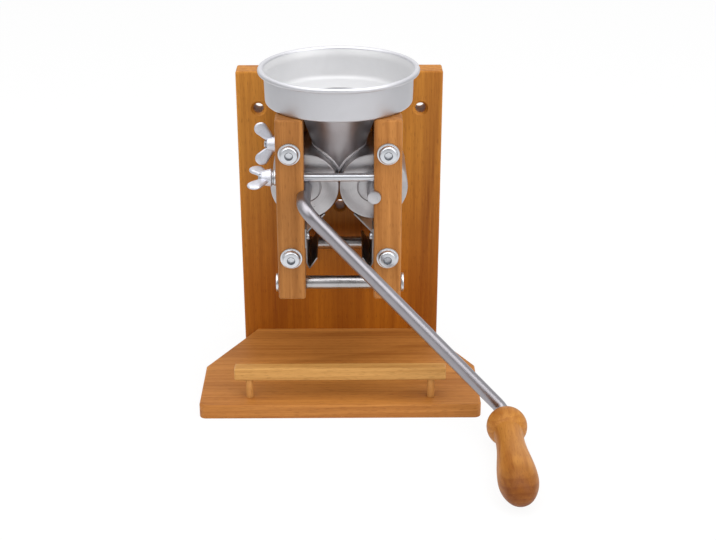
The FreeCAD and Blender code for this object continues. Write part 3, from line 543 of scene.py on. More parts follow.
@dataclass
class Surface:
    """A grid of points in millimetres, which may close on itself in either direction."""

    points: Array
    wrap_rows: bool = False
    wrap_columns: bool = True

    def quads(self, first: int) -> Array:
        """The corner numbers of the grid's faces.

        Args:
            first: The number of the grid's first point in the whole mesh.

        Returns:
            One row of four numbers for each face.
        """
        rows, columns = self.points.shape[:2]
        index = np.arange(rows * columns).reshape(rows, columns) + first
        if self.wrap_columns:
            index = np.concatenate([index, index[:, :1]], axis=1)
        if self.wrap_rows:
            index = np.concatenate([index, index[:1]], axis=0)
        corners = [index[:-1, :-1], index[1:, :-1], index[1:, 1:], index[:-1, 1:]]
        return np.stack(corners, axis=-1).reshape(-1, 4)


def piece(name: str, surfaces: list[Surface], body: str, finish: Wood | Metal, replaces: tuple[str, ...] = (),
          sharp: float = 32.0) -> None:
    """Makes one object of several surfaces, welds it and puts it on its body.

    Args:
        name: The object's name.
        surfaces: Its surfaces, in millimetres.
        body: The body it moves with.
        finish: Its wood or metal.
        replaces: The CAD nodes it stands for.
        sharp: Edges that turn more than this stay sharp, in degrees.
    """
    points = [surface.points.reshape(-1, 3) for surface in surfaces]
    starts = np.cumsum([0] + [len(p) for p in points])
    quads = np.concatenate([s.quads(int(start)) for s, start in zip(surfaces, starts)])
    mesh = bpy.data.meshes.new(name)
    mesh.from_pydata((np.concatenate(points) * MM).tolist(), [], quads.tolist())
    welded = bmesh.new()
    welded.from_mesh(mesh)
    bmesh.ops.remove_doubles(welded, verts=welded.verts, dist=WELD)
    bmesh.ops.dissolve_degenerate(welded, edges=welded.edges, dist=WELD)
    bmesh.ops.recalc_face_normals(welded, faces=welded.faces)
    welded.to_mesh(mesh)
    welded.free()
    mesh.polygons.foreach_set("use_smooth", np.ones(len(mesh.polygons), dtype=bool))
    mesh.set_sharp_from_angle(angle=math.radians(sharp))
    mesh.materials.append(SHELF.get(finish))
    made = bpy.data.objects.new(name, mesh)
    bpy.context.scene.collection.objects.link(made)
    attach(made, body)
    if replaces:
        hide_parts(*replaces)
    LOG.info("%s: %d faces on %s", name, len(mesh.polygons), body)


def dress(node: str, finish: Wood | Metal) -> None:
    """Gives a CAD node that stays as it is its finish.

    Args:
        node: The node's name.
        finish: Its wood or metal.
    """
    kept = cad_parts[node]
    kept.data.materials.clear()
    kept.data.materials.append(SHELF.get(finish))
    LOG.info("%s keeps its shape", node)


def angles(sides: int) -> Array:
    """Evenly spaced angles round a full turn."""
    return np.linspace(0, FULL_TURN, sides, endpoint=False)


def unit(vectors: Array) -> Array:
    """The same directions, each one long."""
    return vectors / np.linalg.norm(vectors, axis=-1, keepdims=True)


def eased(points: list[tuple[float, float]], radius: float, steps: int = 4) -> Array:
    """Rounds the inner corners of a line, each by a curve that leaves and meets its two sides.

    Each point of the curve is (1-t)^2 times the start, plus 2t(1-t) times the corner, plus t^2 times the end.

    Args:
        points: The line's corners.
        radius: How far from each corner the curve starts, at most half of the shorter side.
        steps: Points on each curve.

    Returns:
        The rounded line, as rows of points.
    """
    corners = np.asarray(points, dtype=float)
    lengths = np.linalg.norm(np.diff(corners, axis=0), axis=1)
    ways = unit(np.diff(corners, axis=0))
    cut = np.minimum(radius, 0.5 * np.minimum(lengths[:-1], lengths[1:]))[:, None]
    middle = corners[1:-1]
    start, end = middle - ways[:-1] * cut, middle + ways[1:] * cut
    t = np.linspace(0, 1, steps)[None, :, None]
    curve = (1 - t) ** 2 * start[:, None] + 2 * t * (1 - t) * middle[:, None] + t ** 2 * end[:, None]
    return np.concatenate([corners[:1], curve.reshape(-1, corners.shape[1]), corners[-1:]])


def ringed(radius: Array, height: Array, centre: Triple, axis: Axis, sides: int, closed: bool) -> Surface:
    """The surface through rings of points round an axis.

    A point is centre + height * axis + radius * (cos(angle) * across + sin(angle) * other).

    Args:
        radius: A row for each ring, with one radius for all of its points or one for each.
        height: The height of each ring.
        centre: Where the height is zero.
        axis: The direction of the height.
        sides: Points on each ring.
        closed: Whether the last ring joins the first.

    Returns:
        The surface.
    """
    circle, along = axis.circle(angles(sides)), np.array(axis.value)
    return Surface(radius[..., None] * circle + height[:, None, None] * along + np.array(centre), closed)


def turned(profile: Array, centre: Triple, axis: Axis, sides: int = 96, closed: bool = False) -> Surface:
    """Turns a profile about an axis.

    Args:
        profile: Rows of (radius, height).
        centre: Where the height is zero.
        axis: The direction of the height.
        sides: Points round the axis.
        closed: Whether the profile's end joins its start.

    Returns:
        The surface.
    """
    profile = np.asarray(profile, dtype=float)
    return ringed(profile[:, :1], profile[:, 1], centre, axis, sides, closed)


def around(path: Array, first: Array, second: Array, radius: Array | float, sides: int) -> Array:
    """Circles of points round a path: path + radius * (cos(angle) * first + sin(angle) * second).

    Args:
        path: The circles' middles, as rows.
        first: A unit vector across the path, or one for each circle.
        second: The other one, across both.
        radius: The circles' radius, or a row with one for each.
        sides: Points round each circle.

    Returns:
        A grid of points, with a row for each circle.
    """
    angle = angles(sides)[None, :, None]
    ring = np.cos(angle) * first[..., None, :] + np.sin(angle) * second[..., None, :]
    return path[:, None] + radius * ring


def ring_section(inner: float, outer: float, thick: float, soft: float) -> Array:
    """The closed section of a flat ring, as rows of (radius, height).

    Args:
        inner: Its inner radius.
        outer: Its outer radius.
        thick: Its thickness.
        soft: How far from each corner the rounding starts.

    Returns:
        The section, from the middle of the inner side.
    """
    start = (inner, thick / 2)
    return eased([start, (inner, 0), (outer, 0), (outer, thick), (inner, thick), start], soft, 3)[:-1]


def washer(start: Triple, axis: Axis, outer: float, inner: float, thick: float, soft: float = 0.25) -> Surface:
    """A flat ring with softened edges.

    Args:
        start: The middle of its near face.
        axis: The way from there to its far face.
        outer: Its outer diameter.
        inner: Its inner diameter.
        thick: Its thickness.
        soft: How far from each edge the rounding starts.

    Returns:
        The surface.
    """
    return turned(ring_section(inner / 2, outer / 2, thick, soft), start, axis, 64, closed=True)


def ribbon(outer: Array, inner: Array, start: float, end: float) -> list[Surface]:
    """A bent sheet: two lines give its faces in section, and it is carried straight to the back.

    Args:
        outer: The points of one face, as rows of (x, z).
        inner: The points of the other face, as many.
        start: The place of its front end.
        end: The place of its back end.

    Returns:
        The surface round the section, and the two ends.
    """
    near, far = (np.stack([np.insert(line, 1, place, axis=-1) for line in (outer, inner)]) for place in (start, end))
    walls = np.stack([np.concatenate([faces[0], faces[1][::-1]]) for faces in (near, far)])
    return [Surface(walls), Surface(near, wrap_columns=False), Surface(far, wrap_columns=False)]


@dataclass(frozen=True)
class Screw:
    """A screw with a hexagon socket in its head, and a thread at its end.

    The thread's radius falls and rises as a cosine of height / pitch less angle / full turn. The socket's side
    is at half the hexagon's width over the cosine of the angle from the nearest flat.

    Attributes:
        seat: Where the head's underside meets the shank.
        axis: From the head towards the end.
        shank: The shank's diameter.
        length: The shank's length.
        head: The head's diameter.
        high: The head's height.
        key: The socket's width.
        dome: Whether the head's edge is a quarter of an ellipse, or square.
        thread: The length of the thread.
        pitch: The height of one turn of the thread.
        tip: The height of the chamfer at the end.
        skin: The thickness of the dark skin of painted shade on the socket's walls.
        sides: Points round the axis.
    """

    seat: Triple
    axis: Axis
    shank: float
    length: float
    head: float
    high: float
    key: float
    dome: bool = False
    thread: float = 0.0
    pitch: float = 1.0
    tip: float = 0.6
    skin: float = 0.03
    sides: int = 48

    def rings(self, radius: Array, height: Array, closed: bool = False) -> Surface:
        """The surface through rings of points, each with its radii and its height over the seat."""
        return ringed(radius, height, self.seat, self.axis, self.sides, closed)

    def hexagon(self) -> Array:
        """The distance of the socket's walls from the axis, at each point round it."""
        from_flat = np.mod(angles(self.sides), math.pi / 3) - math.pi / 6
        return self.key / 2 / np.cos(from_flat)

    def mouth(self) -> float:
        """The radius of the round countersink of the socket."""
        return self.key * 0.62

    def socket(self) -> tuple[Surface, Surface]:
        """The walls that the hexagon socket cuts into the head, and the thin dark skin of painted shade that covers
        them.
        """
        six = self.hexagon()
        radius = np.stack([0 * six + self.mouth(), six * 1.03, six, six * 0.98])
        height = -self.high + np.array((0.0, 0.0, 0.15, self.high * 0.5))
        behind = radius + self.skin * np.array((0, 1, 1, 1))[:, None]
        below = height + self.skin * np.array((1, 1, 1, 0))
        walls = self.rings(np.concatenate([radius[:1], behind, radius[-1:]]),
                           np.concatenate([height[:1], below, height[-1:]]))
        skin = self.rings(np.concatenate([radius, behind[::-1]]), np.concatenate([height, below[::-1]]), True)
        return walls, skin

    def head_side(self) -> Array:
        """The head's outline from the shank to the socket, as rows of (radius, height)."""
        rim, foot = self.head / 2, self.shank / 2
        if not self.dome:
            return eased([(foot, 0), (rim, 0), (rim, -self.high), (self.mouth(), -self.high)], 0.35, 3)
        lift = np.linspace(0, math.pi / 2, 9)
        arch = np.stack([rim - 0.26 * rim * (1 - np.cos(lift)), -self.high * (0.08 + 0.87 * np.sin(lift))], axis=1)
        return np.concatenate([[[foot, 0.0], [rim - 0.2, 0.0]], arch, [[self.mouth(), -self.high]]])

    def outside(self) -> list[Surface]:
        """The head, its socket and the shank, as one closed skin."""
        side, floor = self.head_side(), self.hexagon() * 0.98
        start, end = self.length - self.thread, self.length - self.tip
        height = np.concatenate([[0.0], np.arange(max(start, 0.1), end, self.pitch / 7), [end]])
        turns = height[:, None] / self.pitch - angles(self.sides) / FULL_TURN
        threaded = ((height > start) & (height < end))[:, None]
        cut = np.where(threaded, 0.075 * self.shank * (0.5 - 0.5 * np.cos(FULL_TURN * turns)), 0.0)
        point = np.array(((self.shank / 2, end), (self.shank * 0.41, self.length), (0.0, self.length)))
        return [self.rings(side[:, :1], side[:, 1]), self.socket()[0],
                self.rings(np.stack([floor, floor * 0.0]), -self.high * np.array((0.5, 0.44))),
                self.rings(self.shank / 2 - cut, height), self.rings(point[:, :1], point[:, 1])]


def fasten(name: str, screws: list[Screw], body: str, node: str, finish: Metal = ZINC) -> None:
    """Makes several screws, with painted shade on the walls of each socket.

    Args:
        name: The name of the piece.
        screws: The screws.
        body: The body they move with.
        node: The CAD node they stand for.
        finish: Their metal.
    """
    piece(name, [part for screw in screws for part in screw.outside()], body, finish, (node,))
    # The dark skins in the sockets are painted shade.
    piece(f"{name}_socket_shade_skins", [screw.socket()[1] for screw in screws], body, PAINTED_SOCKET_SHADE, (node,))


@dataclass
class Stand:
    """The upright board, the base, the rail and its dowels."""

    dowel_radius: float = 3.0
    dowel_waist: float = 0.12
    dowel_x: float = 68.5
    dowel_y: float = -113.0
    dowel_foot: float = 6.0
    dowel_long: float = 25.3

    def dress_boards(self) -> None:
        """Gives the boards, the rail, the base screws and the inserts their wood and metal."""
        for node, finish in (("back_board", BOARD_WOOD), ("base_board", BASE_WOOD), ("bowl_rail", RAIL_WOOD),
                             ("base_screws", DARK_ZINC), ("board_inserts", BRASS)):
            dress(node, finish)

    def make_dowels(self) -> None:
        """Makes the two dowels that carry the rail.

        They are slightly waisted, as turned dowels are: the radius less the waist times the sine of the way up.
        """
        height = np.linspace(0, self.dowel_long, 14)
        radius = self.dowel_radius - self.dowel_waist * np.sin(np.pi * height / self.dowel_long)
        profile = np.concatenate([[[0, 0]], np.stack([radius, height], axis=1), [[0, self.dowel_long]]])
        dowels = [turned(profile, (x, self.dowel_y, self.dowel_foot), Axis.UP, 40)
                  for x in (-self.dowel_x, self.dowel_x)]
        piece("turned_rail_dowels", dowels, "stand", DOWEL_WOOD, ("rail_dowels",))

    def build(self) -> None:
        """Builds the stand."""
        self.dress_boards()
        self.make_dowels()


@dataclass
class Mill:
    """The sizes that the mill's sub-assemblies share."""

    bar_face: float = 45.2
    roller_x: float = 25.2
    roller_height: float = 168.5
    rows: dict[str, float] = field(default_factory=lambda: {"front": -93.0, "rear": -18.0})


@dataclass
class Cheeks(Mill):
    """The four bars with the bolts, washers, spacers, tie rods and inserts that make them two cheeks."""

    bar_x: float = 35.2
    bar_wide: float = 20.0
    front: float = -103.0
    washer_thick: float = 1.6
    clearance: float = 8.4
    spacer_long: float = 55.0
    standoff: float = 8.0
    bolt_heights: tuple[float, float] = (121.0, 201.3)
    tie_height: float = 96.8
    tie_radius: float = 5.0
    tie_long: float = 50.2
    bolts: dict[str, float] = field(default_factory=lambda: {"left": 120.0, "right": 90.0})

    def dress_bars(self) -> None:
        """Gives the bars and inserts their finish."""
        for row in self.rows:
            dress(f"left_{row}_bar", LEFT_BAR_WOOD)
            dress(f"right_{row}_bar", RIGHT_BAR_WOOD)
        dress("bar_inserts", BRASS)

    def spots(self, x: float, y: float) -> list[Triple]:
        """A place at the height of each bolt."""
        return [(x, y, z) for z in self.bolt_heights]

    def make_frame_bolts(self, side: str, body: str) -> None:
        """Makes a cheek's button-headed bolts, their washers and the spacer tubes behind.

        Args:
            side: left or right.
            body: The body the cheek belongs to.
        """
        x, seat = SIGNS[side] * self.bar_x, self.front - self.washer_thick
        bolts = [Screw(spot, Axis.BACK, shank=8.0, length=self.bolts[side], head=14.0, high=4.4, key=5.0, dome=True)
                 for spot in self.spots(x, seat)]
        fasten(f"{side}_button_bolts", bolts, body, f"{side}_frame_bolts")
        rings = [washer(spot, Axis.BACK, 16.0, self.clearance, self.washer_thick) for spot in self.spots(x, seat)]
        piece(f"{side}_bolt_washers", rings, body, ZINC, (f"{side}_frame_washers",))
        tubes = [washer(spot, Axis.BACK, 14.0, self.clearance, self.spacer_long, 0.5)
                 for spot in self.spots(x, self.front + self.bar_wide)]
        piece(f"{side}_spacer_tubes", tubes, body, SPACER_METAL, (f"{side}_spacers",))

    def make_standoffs(self) -> None:
        """Makes the rings between the left rear bar and the board."""
        rings = [washer(spot, Axis.BACK, 16.0, self.clearance, self.standoff, 0.5)
                 for spot in self.spots(-self.bar_x, -self.standoff)]
        piece("standoff_spacer_rings", rings, "stand", SPACER_METAL, ("standoff_rings",))

    def make_tie_rods(self) -> None:
        """Makes the two lower rods, with softened ends, and their flat-headed screws."""
        outer, inner, long = self.tie_radius, self.tie_radius - 2.0, self.tie_long
        section = eased([(inner, 0.0), (outer, 0.0), (outer, long), (inner, long), (inner, 0.0)], 0.6, 4)[:-1]
        for name, y in self.rows.items():
            tube = turned(section, (self.bar_wide - self.bar_face, y, self.tie_height), Axis.RIGHT, 64, closed=True)
            piece(f"{name}_lower_rod", [tube], "stand", TIE_STEEL, (f"{name}_tie_rod",))
        for side, x, axis, length in (("left", -self.bar_face, Axis.RIGHT, 32.0),
                                      ("right", self.bar_face + 0.3, Axis.LEFT, 32.5)):
            screws = [Screw((x, y, self.tie_height), axis, shank=6.0, length=length, head=14.0, high=2.0, key=4.0)
                      for y in self.rows.values()]
            fasten(f"{side}_rod_screws", screws, "stand", f"{side}_tie_screws")

    def build(self) -> None:
        """Builds both cheeks."""
        self.dress_bars()
        self.make_frame_bolts("left", "stand")
        self.make_frame_bolts("right", "right_cheek")
        self.make_standoffs()
        self.make_tie_rods()


@dataclass
class Clamps(Mill):
    """The upper bolts with their washers and wing nuts."""

    height: float = 179.9
    head_seat: float = 38.9
    bolt: float = 6.0
    bolt_long: float = 97.0
    washer_thick: float = 1.6
    spring_inner: float = 3.3
    spring_outer: float = 5.25
    spring_thick: float = 1.3
    spring_rise: float = 0.3
    turns: dict[str, float] = field(default_factory=lambda: {"front": 97.5, "rear": 0.0})
    nut_x: float = -48.5
    nut_bore: float = 3.05
    hub_long: float = 7.5
    span: float = 34.8
    high: float = 17.0
    ear_radius: float = 5.3
    root_radius: float = 3.0
    ear_thick: float = 3.0

    def make_bolts(self) -> None:
        """Makes the clamp bolts, with threads where they leave the nuts."""
        for name, y in self.rows.items():
            screw = Screw((self.head_seat, y, self.height), Axis.LEFT, shank=self.bolt, length=self.bolt_long,
                          head=10.0, high=6.0, key=5.0, thread=14.0)
            fasten(f"{name}_clamp_screw", [screw], "clamp_bolts", f"{name}_clamp_bolt")

    def make_washers(self) -> None:
        """Makes the flat washers and the split spring washers.

        A spring washer is a section turned through nearly a full turn while it moves a little along the axis,
        so that its two ends stand apart: start + radius * circle(angle) + (height + rise) * axis.
        """
        flat = [washer((-self.bar_face, y, self.height), Axis.LEFT, 12.0, 6.6, self.washer_thick)
                for y in self.rows.values()]
        piece("flat_clamp_washers", flat, "stand", ZINC, ("clamp_washers",))
        steps = 72
        circle = Axis.LEFT.circle(np.radians(np.linspace(4, 356, steps)))[:, None]
        section = ring_section(self.spring_inner, self.spring_outer, self.spring_thick, 0.2)
        height = section[:, 1] + np.linspace(0.0, self.spring_rise, steps)[:, None]
        for name, y in self.rows.items():
            start = np.array((-self.bar_face - self.washer_thick, y, self.height))
            points = section[:, :1] * circle + height[..., None] * np.array(Axis.LEFT.value) + start
            ends = [points[i].mean(axis=0) + 0 * points[i][None] for i in (0, -1)]
            coil = Surface(np.concatenate([ends[0], points, ends[1]]))
            piece(f"{name}_split_washer", [coil], "stand", DARK_ZINC, ("spring_washers",), 20.0)

    def ear(self, side: int) -> Array:
        """The outline of one wing.

        It is the hull of a small circle at the hub and a large one at the tip: the farther of the two circles'
        points in each direction.

        Args:
            side: -1 or 1.

        Returns:
            Rows of (across, height).
        """
        angle = angles(72)
        way = np.stack([np.cos(angle), np.sin(angle)], axis=1)
        root = np.array((5.0 - self.root_radius / 2, self.root_radius + 1.0))
        tip = np.array((self.span / 2 - self.ear_radius, self.high - self.ear_radius))
        near, far = way @ root + self.root_radius, way @ tip + self.ear_radius
        outline = np.where((far >= near)[:, None], tip + way * self.ear_radius, root + way * self.root_radius)
        return outline * np.array((side, 1))

    def make_nut(self, name: str, y: float, turn: float) -> None:
        """Makes a wing nut: a tapered hub and two cushioned wings.

        A wing's rim is its outline. Each ring inside it is the outline drawn towards its middle by a factor, and
        half the wing's thickness there is the root of one less the sixth power of the factor.

        Args:
            name: front or rear.
            y: Its place.
            turn: How far its wings are turned from upright, in degrees.
        """
        bore, long = self.nut_bore, self.hub_long
        hub = eased([(bore, 0.0), (6.5, 0.0), (6.3, 1.2), (5.0, long), (bore, long), (bore, 0.0)], 0.7, 4)[:-1]
        place = (self.nut_x, y, self.height)
        along, lean = np.array(Axis.LEFT.value), math.radians(turn)
        wide = np.array((0.0, -math.sin(lean), math.cos(lean)))
        thick = np.cross(along, wide)
        factor = np.array((0.0, 0.45, 0.7, 0.86, 0.94, 0.985, 1.0))
        half = np.sqrt(1 - factor ** 6) * self.ear_thick / 2
        factor, swell = np.concatenate([factor, factor[-2::-1]]), np.concatenate([half, -half[-2::-1]])
        surfaces = [turned(hub, place, Axis.LEFT, 64, closed=True)]
        for outline in (self.ear(-1), self.ear(1)):
            middle = outline.mean(axis=0)
            rings = middle + factor[:, None, None] * (outline - middle)
            points = rings[..., :1] * wide + rings[..., 1:] * along + swell[:, None, None] * thick
            surfaces.append(Surface(points + np.array(place)))
        piece(f"{name}_cast_wing_nut", surfaces, f"{name}_nut", CAST_ZINC, (f"{name}_wing_nut",), 40.0)

    def build(self) -> None:
        """Builds the clamps."""
        self.make_bolts()
        self.make_washers()
        for name, y in self.rows.items():
            self.make_nut(name, y, self.turns[name])


@dataclass
class Rollers(Mill):
    """The two rollers, their thrust washers and the right shaft."""

    front: float = -82.0
    long: float = 53.0
    radius: float = 25.0
    shaft_radius: float = 5.0
    shaft_front: float = -105.0
    shaft_long: float = 96.5
    washer_thick: float = 0.8

    def make_roller(self, side: str, body: str) -> None:
        """Makes a roller, which has a groove turned in its front face, and its thrust washers.

        Args:
            side: left or right.
            body: The body it turns with.
        """
        x, bore, long = SIGNS[side] * self.roller_x, self.shaft_radius, self.long
        metal = Metal(f"{side}_roller_turned_steel", (0.56, 0.545, 0.555), 0.32, Lay.TURNED, Axis.BACK,
                      (x, 0, self.roller_height), marks=0.16, bump=0.1, stain=0.14)
        groove = [(11.1, 0.0), (11.2, 0.7), (11.9, 0.7), (12.0, 0.0)]
        line = [(bore, 1.0), (bore, 0.0), *groove, (self.radius, 0.0), (self.radius, long), (bore, long),
                (bore, long - 1), (bore, 1.0)]
        drum = turned(eased(line, 0.9, 5)[:-1], (x, self.front, self.roller_height), Axis.BACK, 160, closed=True)
        piece(f"{side}_turned_roller", [drum], body, metal, (f"{side}_roller",))
        rings = [washer((x, y, self.roller_height), Axis.BACK, 22.0, 10.0, self.washer_thick, 0.2)
                 for y in (self.front - self.washer_thick, self.front + long)]
        piece(f"{side}_face_washers", rings, body, WASHER_STEEL, (f"{side}_thrust_washers",))

    def make_right_shaft(self) -> None:
        """Makes the right roller's shaft with softened ends."""
        metal = Metal("right_shaft_drawn_steel", (0.6, 0.59, 0.61), 0.34, Lay.TURNED, Axis.BACK,
                      (self.roller_x, 0, self.roller_height), marks=0.2, stain=0.14)
        radius, long = self.shaft_radius, self.shaft_long
        line = eased([(0.0, 0.0), (radius, 0.0), (radius, long), (0.0, long)], 0.8, 3)
        shaft = turned(line, (self.roller_x, self.shaft_front, self.roller_height), Axis.BACK, 48)
        piece("right_drawn_shaft", [shaft], "driven_roller", metal, ("right_shaft",))

    def build(self) -> None:
        """Builds both rollers."""
        self.make_roller("left", "crank")
        self.make_roller("right", "driven_roller")
        self.make_right_shaft()


@dataclass
class Scrapers(Mill):
    """The bent sheets that scrape the rollers, with their screws."""

    sheet: float = 1.0
    front: float = -82.4
    back: float = -28.6
    screw_height: float = 134.0
    flange: tuple[float, float] = (5.0, 7.5)
    touch_angle: float = 56.4
    reach: float = 25.15
    bend: float = 132.6
    foot: float = 107.5
    hook: tuple[float, float] = (8.6, 111.5)

    def section(self) -> tuple[Array, Array]:
        """The two faces of the bent sheet in section, as rows of (across, height) for the right side."""
        angle, x, sheet = math.radians(self.touch_angle), self.roller_x, self.sheet
        tip = np.array((x - self.reach * math.cos(angle), self.roller_height - self.reach * math.sin(angle)))
        end = np.array((x - self.hook[0], self.hook[1]))
        outer = [tip, (x, self.bend), (x, self.foot), (x - 2.6, 102.4), end]
        inner = [tip - 0.7 * sheet, (x - sheet, self.bend - 0.4), (x - sheet, self.foot + 0.2), (x - 2.67, 104.1),
                 end + np.array((0.77, 0.63)) * sheet]
        return eased(outer, 1.6, 5), eased(inner, 1.4, 5)

    def make_side(self, name: str, body: str) -> None:
        """Makes one scraper with its two flanges, and its screws.

        Args:
            name: left or right.
            body: The body it is screwed to.
        """
        mirror = np.array((SIGNS[name], 1.0))
        outer, inner = (line * mirror for line in self.section())
        parts = ribbon(outer, inner, self.front, self.back)
        out, up = self.flange
        low, high = self.screw_height - up, self.screw_height + up
        faces = [np.array(((x, low), (x, high))) * mirror for x in (self.roller_x, self.roller_x - self.sheet)]
        for start, end in ((self.rows["front"] - out, self.front), (self.back, self.rows["rear"] + out)):
            parts += ribbon(*faces, start, end)
        piece(f"{name}_bent_scraper", parts, body, SCRAPER_STEEL, (f"{name}_scraper",))
        axis = Axis.RIGHT if name == "right" else Axis.LEFT
        screws = [Screw((faces[1][0, 0], y, self.screw_height), axis, shank=3.0, length=10.0, head=5.6, high=2.2,
                        key=2.0, dome=True) for y in self.rows.values()]
        fasten(f"{name}_pan_screws", screws, body, f"{name}_scraper_screws", DARK_ZINC)

    def build(self) -> None:
        """Builds both scrapers."""
        self.make_side("left", "stand")
        self.make_side("right", "right_cheek")


@dataclass
class Crank(Mill):
    """The bent rod and the turned grip with its plug, washer and screw."""

    rod_radius: float = 5.0
    reach: float = 211.7
    drop: float = 153.5
    lean: float = 4.8
    start_y: float = -8.5
    bend_y: float = -125.0
    near_bend: float = 12.0
    far_bend: float = 8.5
    pin_long: float = 76.5
    chamfer: float = 0.6
    gap: float = 0.5
    ball: float = 14.69
    neck: float = 10.2
    neck_at: float = 36.0
    fillet: float = 0.4
    bulge: float = 13.9
    bulge_at: float = 85.0
    cap: float = 9.9
    cap_high: float = 5.5
    grip_long: float = 107.5
    well: float = 7.2
    well_floor: float = 75.7
    plug_floor: float = 94.5
    bore: float = 5.08

    def turn(self) -> float:
        """How far the arm points below the level, in radians."""
        return math.asin(self.drop / self.reach)

    def end_y(self) -> float:
        """The place of the far bend's corner."""
        return self.bend_y - self.reach * math.tan(math.radians(self.lean))

    def share(self) -> float:
        """The length that a bend takes from each side of its corner, for each millimetre of its radius."""
        return math.tan(math.radians((90 - self.lean) / 2))

    def path(self) -> Array:
        """The rod's middle line: three straights and two arcs, in the plane of the arm.

        An arc's point is its centre plus the radius times (cos(angle), sin(angle)).

        Returns:
            Rows of (x, y, z) in millimetres.
        """
        sweep = np.linspace(0, math.pi / 2 - math.radians(self.lean), 18)
        near, far, turn = self.near_bend, self.far_bend, self.turn()
        near_y, far_y = self.bend_y + near * self.share(), self.end_y() - far * self.share()
        first = np.stack([near - near * np.cos(sweep), near_y - near * np.sin(sweep)], axis=1)
        back = sweep[::-1]
        second = np.stack([self.reach - far + far * np.cos(back), far_y + far * np.sin(back)], axis=1)
        arm = first[-1] + np.linspace(0, 1, 12)[1:-1, None] * (second[0] - first[-1])
        end = far_y - self.pin_long
        flat = np.concatenate([[(0, self.start_y), (0, self.start_y - self.chamfer)], first, arm, second,
                               [(self.reach, end + self.chamfer), (self.reach, end)]])
        return np.stack([flat[:, 0] * math.cos(turn) - self.roller_x, flat[:, 1],
                         self.roller_height - flat[:, 0] * math.sin(turn)], axis=1)

    def make_rod(self) -> None:
        """Makes the bent rod: circles round its path, with smaller ones at the ends, drawn in to a point."""
        path, turn = self.path(), self.turn()
        normal = np.array((math.sin(turn), 0.0, math.cos(turn)))
        aside = np.cross(normal, unit(np.gradient(path, axis=0)))
        rows = np.concatenate([[0], np.arange(len(path)), [-1]])
        radius = np.full((len(rows), 1, 1), self.rod_radius)
        radius[[1, -2]] -= self.chamfer
        radius[[0, -1]] = 0.0
        rod = Surface(around(path[rows], normal, aside[rows], radius, 48))
        piece("bent_crank_rod", [rod], "crank", ARM_STEEL, ("crank_rod",))

    def end_face(self, radius: Array) -> Array:
        """The grip's domed end: its height is the end less the sphere's radius plus the root of that squared
        less the squared radius.

        Args:
            radius: The radii at which the height is wanted.

        Returns:
            Rows of (radius, height).
        """
        sphere = (self.cap ** 2 + self.cap_high ** 2) / (2 * self.cap_high)
        return np.stack([radius, self.grip_long - sphere + np.sqrt(sphere ** 2 - radius ** 2)], axis=1)

    def profile(self) -> Array:
        """The grip's outline.

        The ball's radius is the root of ball^2 less the squared distance from its middle. The neck swells to the
        bulge as half of one less the cosine of the way, and the end falls away as a blunt curve.

        Returns:
            Rows of (radius, height).
        """
        ball = self.ball
        start = ball - math.sqrt(ball ** 2 - (0.44 * ball) ** 2)
        joint = ball + math.sqrt(ball ** 2 - (self.neck + self.fillet) ** 2)
        ball_at = np.linspace(start, joint, 40)
        neck_at = np.linspace(joint + 0.25, self.neck_at, 8)
        fillet = self.fillet * ((self.neck_at - neck_at) / (self.neck_at - joint)) ** 2
        swell, fall = np.linspace(0, 1, 30)[1:], np.linspace(0, 1, 16)[1:]
        swelling = (self.bulge - self.neck) * (0.5 - 0.5 * np.cos(np.pi * swell))
        fall_long = self.grip_long - self.cap_high - self.bulge_at
        radius = np.concatenate([
            [self.bore], np.sqrt(ball ** 2 - (ball_at - ball) ** 2), self.neck + fillet, self.neck + swelling,
            self.bulge - (self.bulge - self.cap) * fall ** 2.1])
        height = np.concatenate([
            [start], ball_at, neck_at, self.neck_at + swell * (self.bulge_at - self.neck_at),
            self.bulge_at + fall * fall_long])
        tip = self.end_face(np.linspace(self.cap, self.well, 8)[1:])
        return np.concatenate([np.stack([radius, height], axis=1), tip])

    def make_grip(self) -> None:
        """Makes the turned grip and the plug that closes it."""
        place = (self.reach * math.cos(self.turn()) - self.roller_x,
                 self.end_y() - self.far_bend * self.share() - self.gap, self.roller_height - self.drop)
        inside = [(self.well, self.well_floor), (self.bore, self.well_floor)]
        wood = turned(np.concatenate([self.profile(), inside]), place, Axis.FRONT, 120, closed=True)
        piece("turned_grip", [wood], "grip", GRIP_WOOD, ("crank_grip",), 24.0)
        back = [(0, self.plug_floor), (self.well, self.plug_floor)]
        plug = np.concatenate([back, self.end_face(np.linspace(self.well, 0, 10))])
        piece("end_plug", [turned(plug, place, Axis.FRONT, 72)], "grip", GRIP_WOOD, ("grip_plug",))
        dress("grip_washer", ZINC)
        dress("grip_screw", ZINC)

    def build(self) -> None:
        """Builds the crank."""
        self.make_rod()
        self.make_grip()


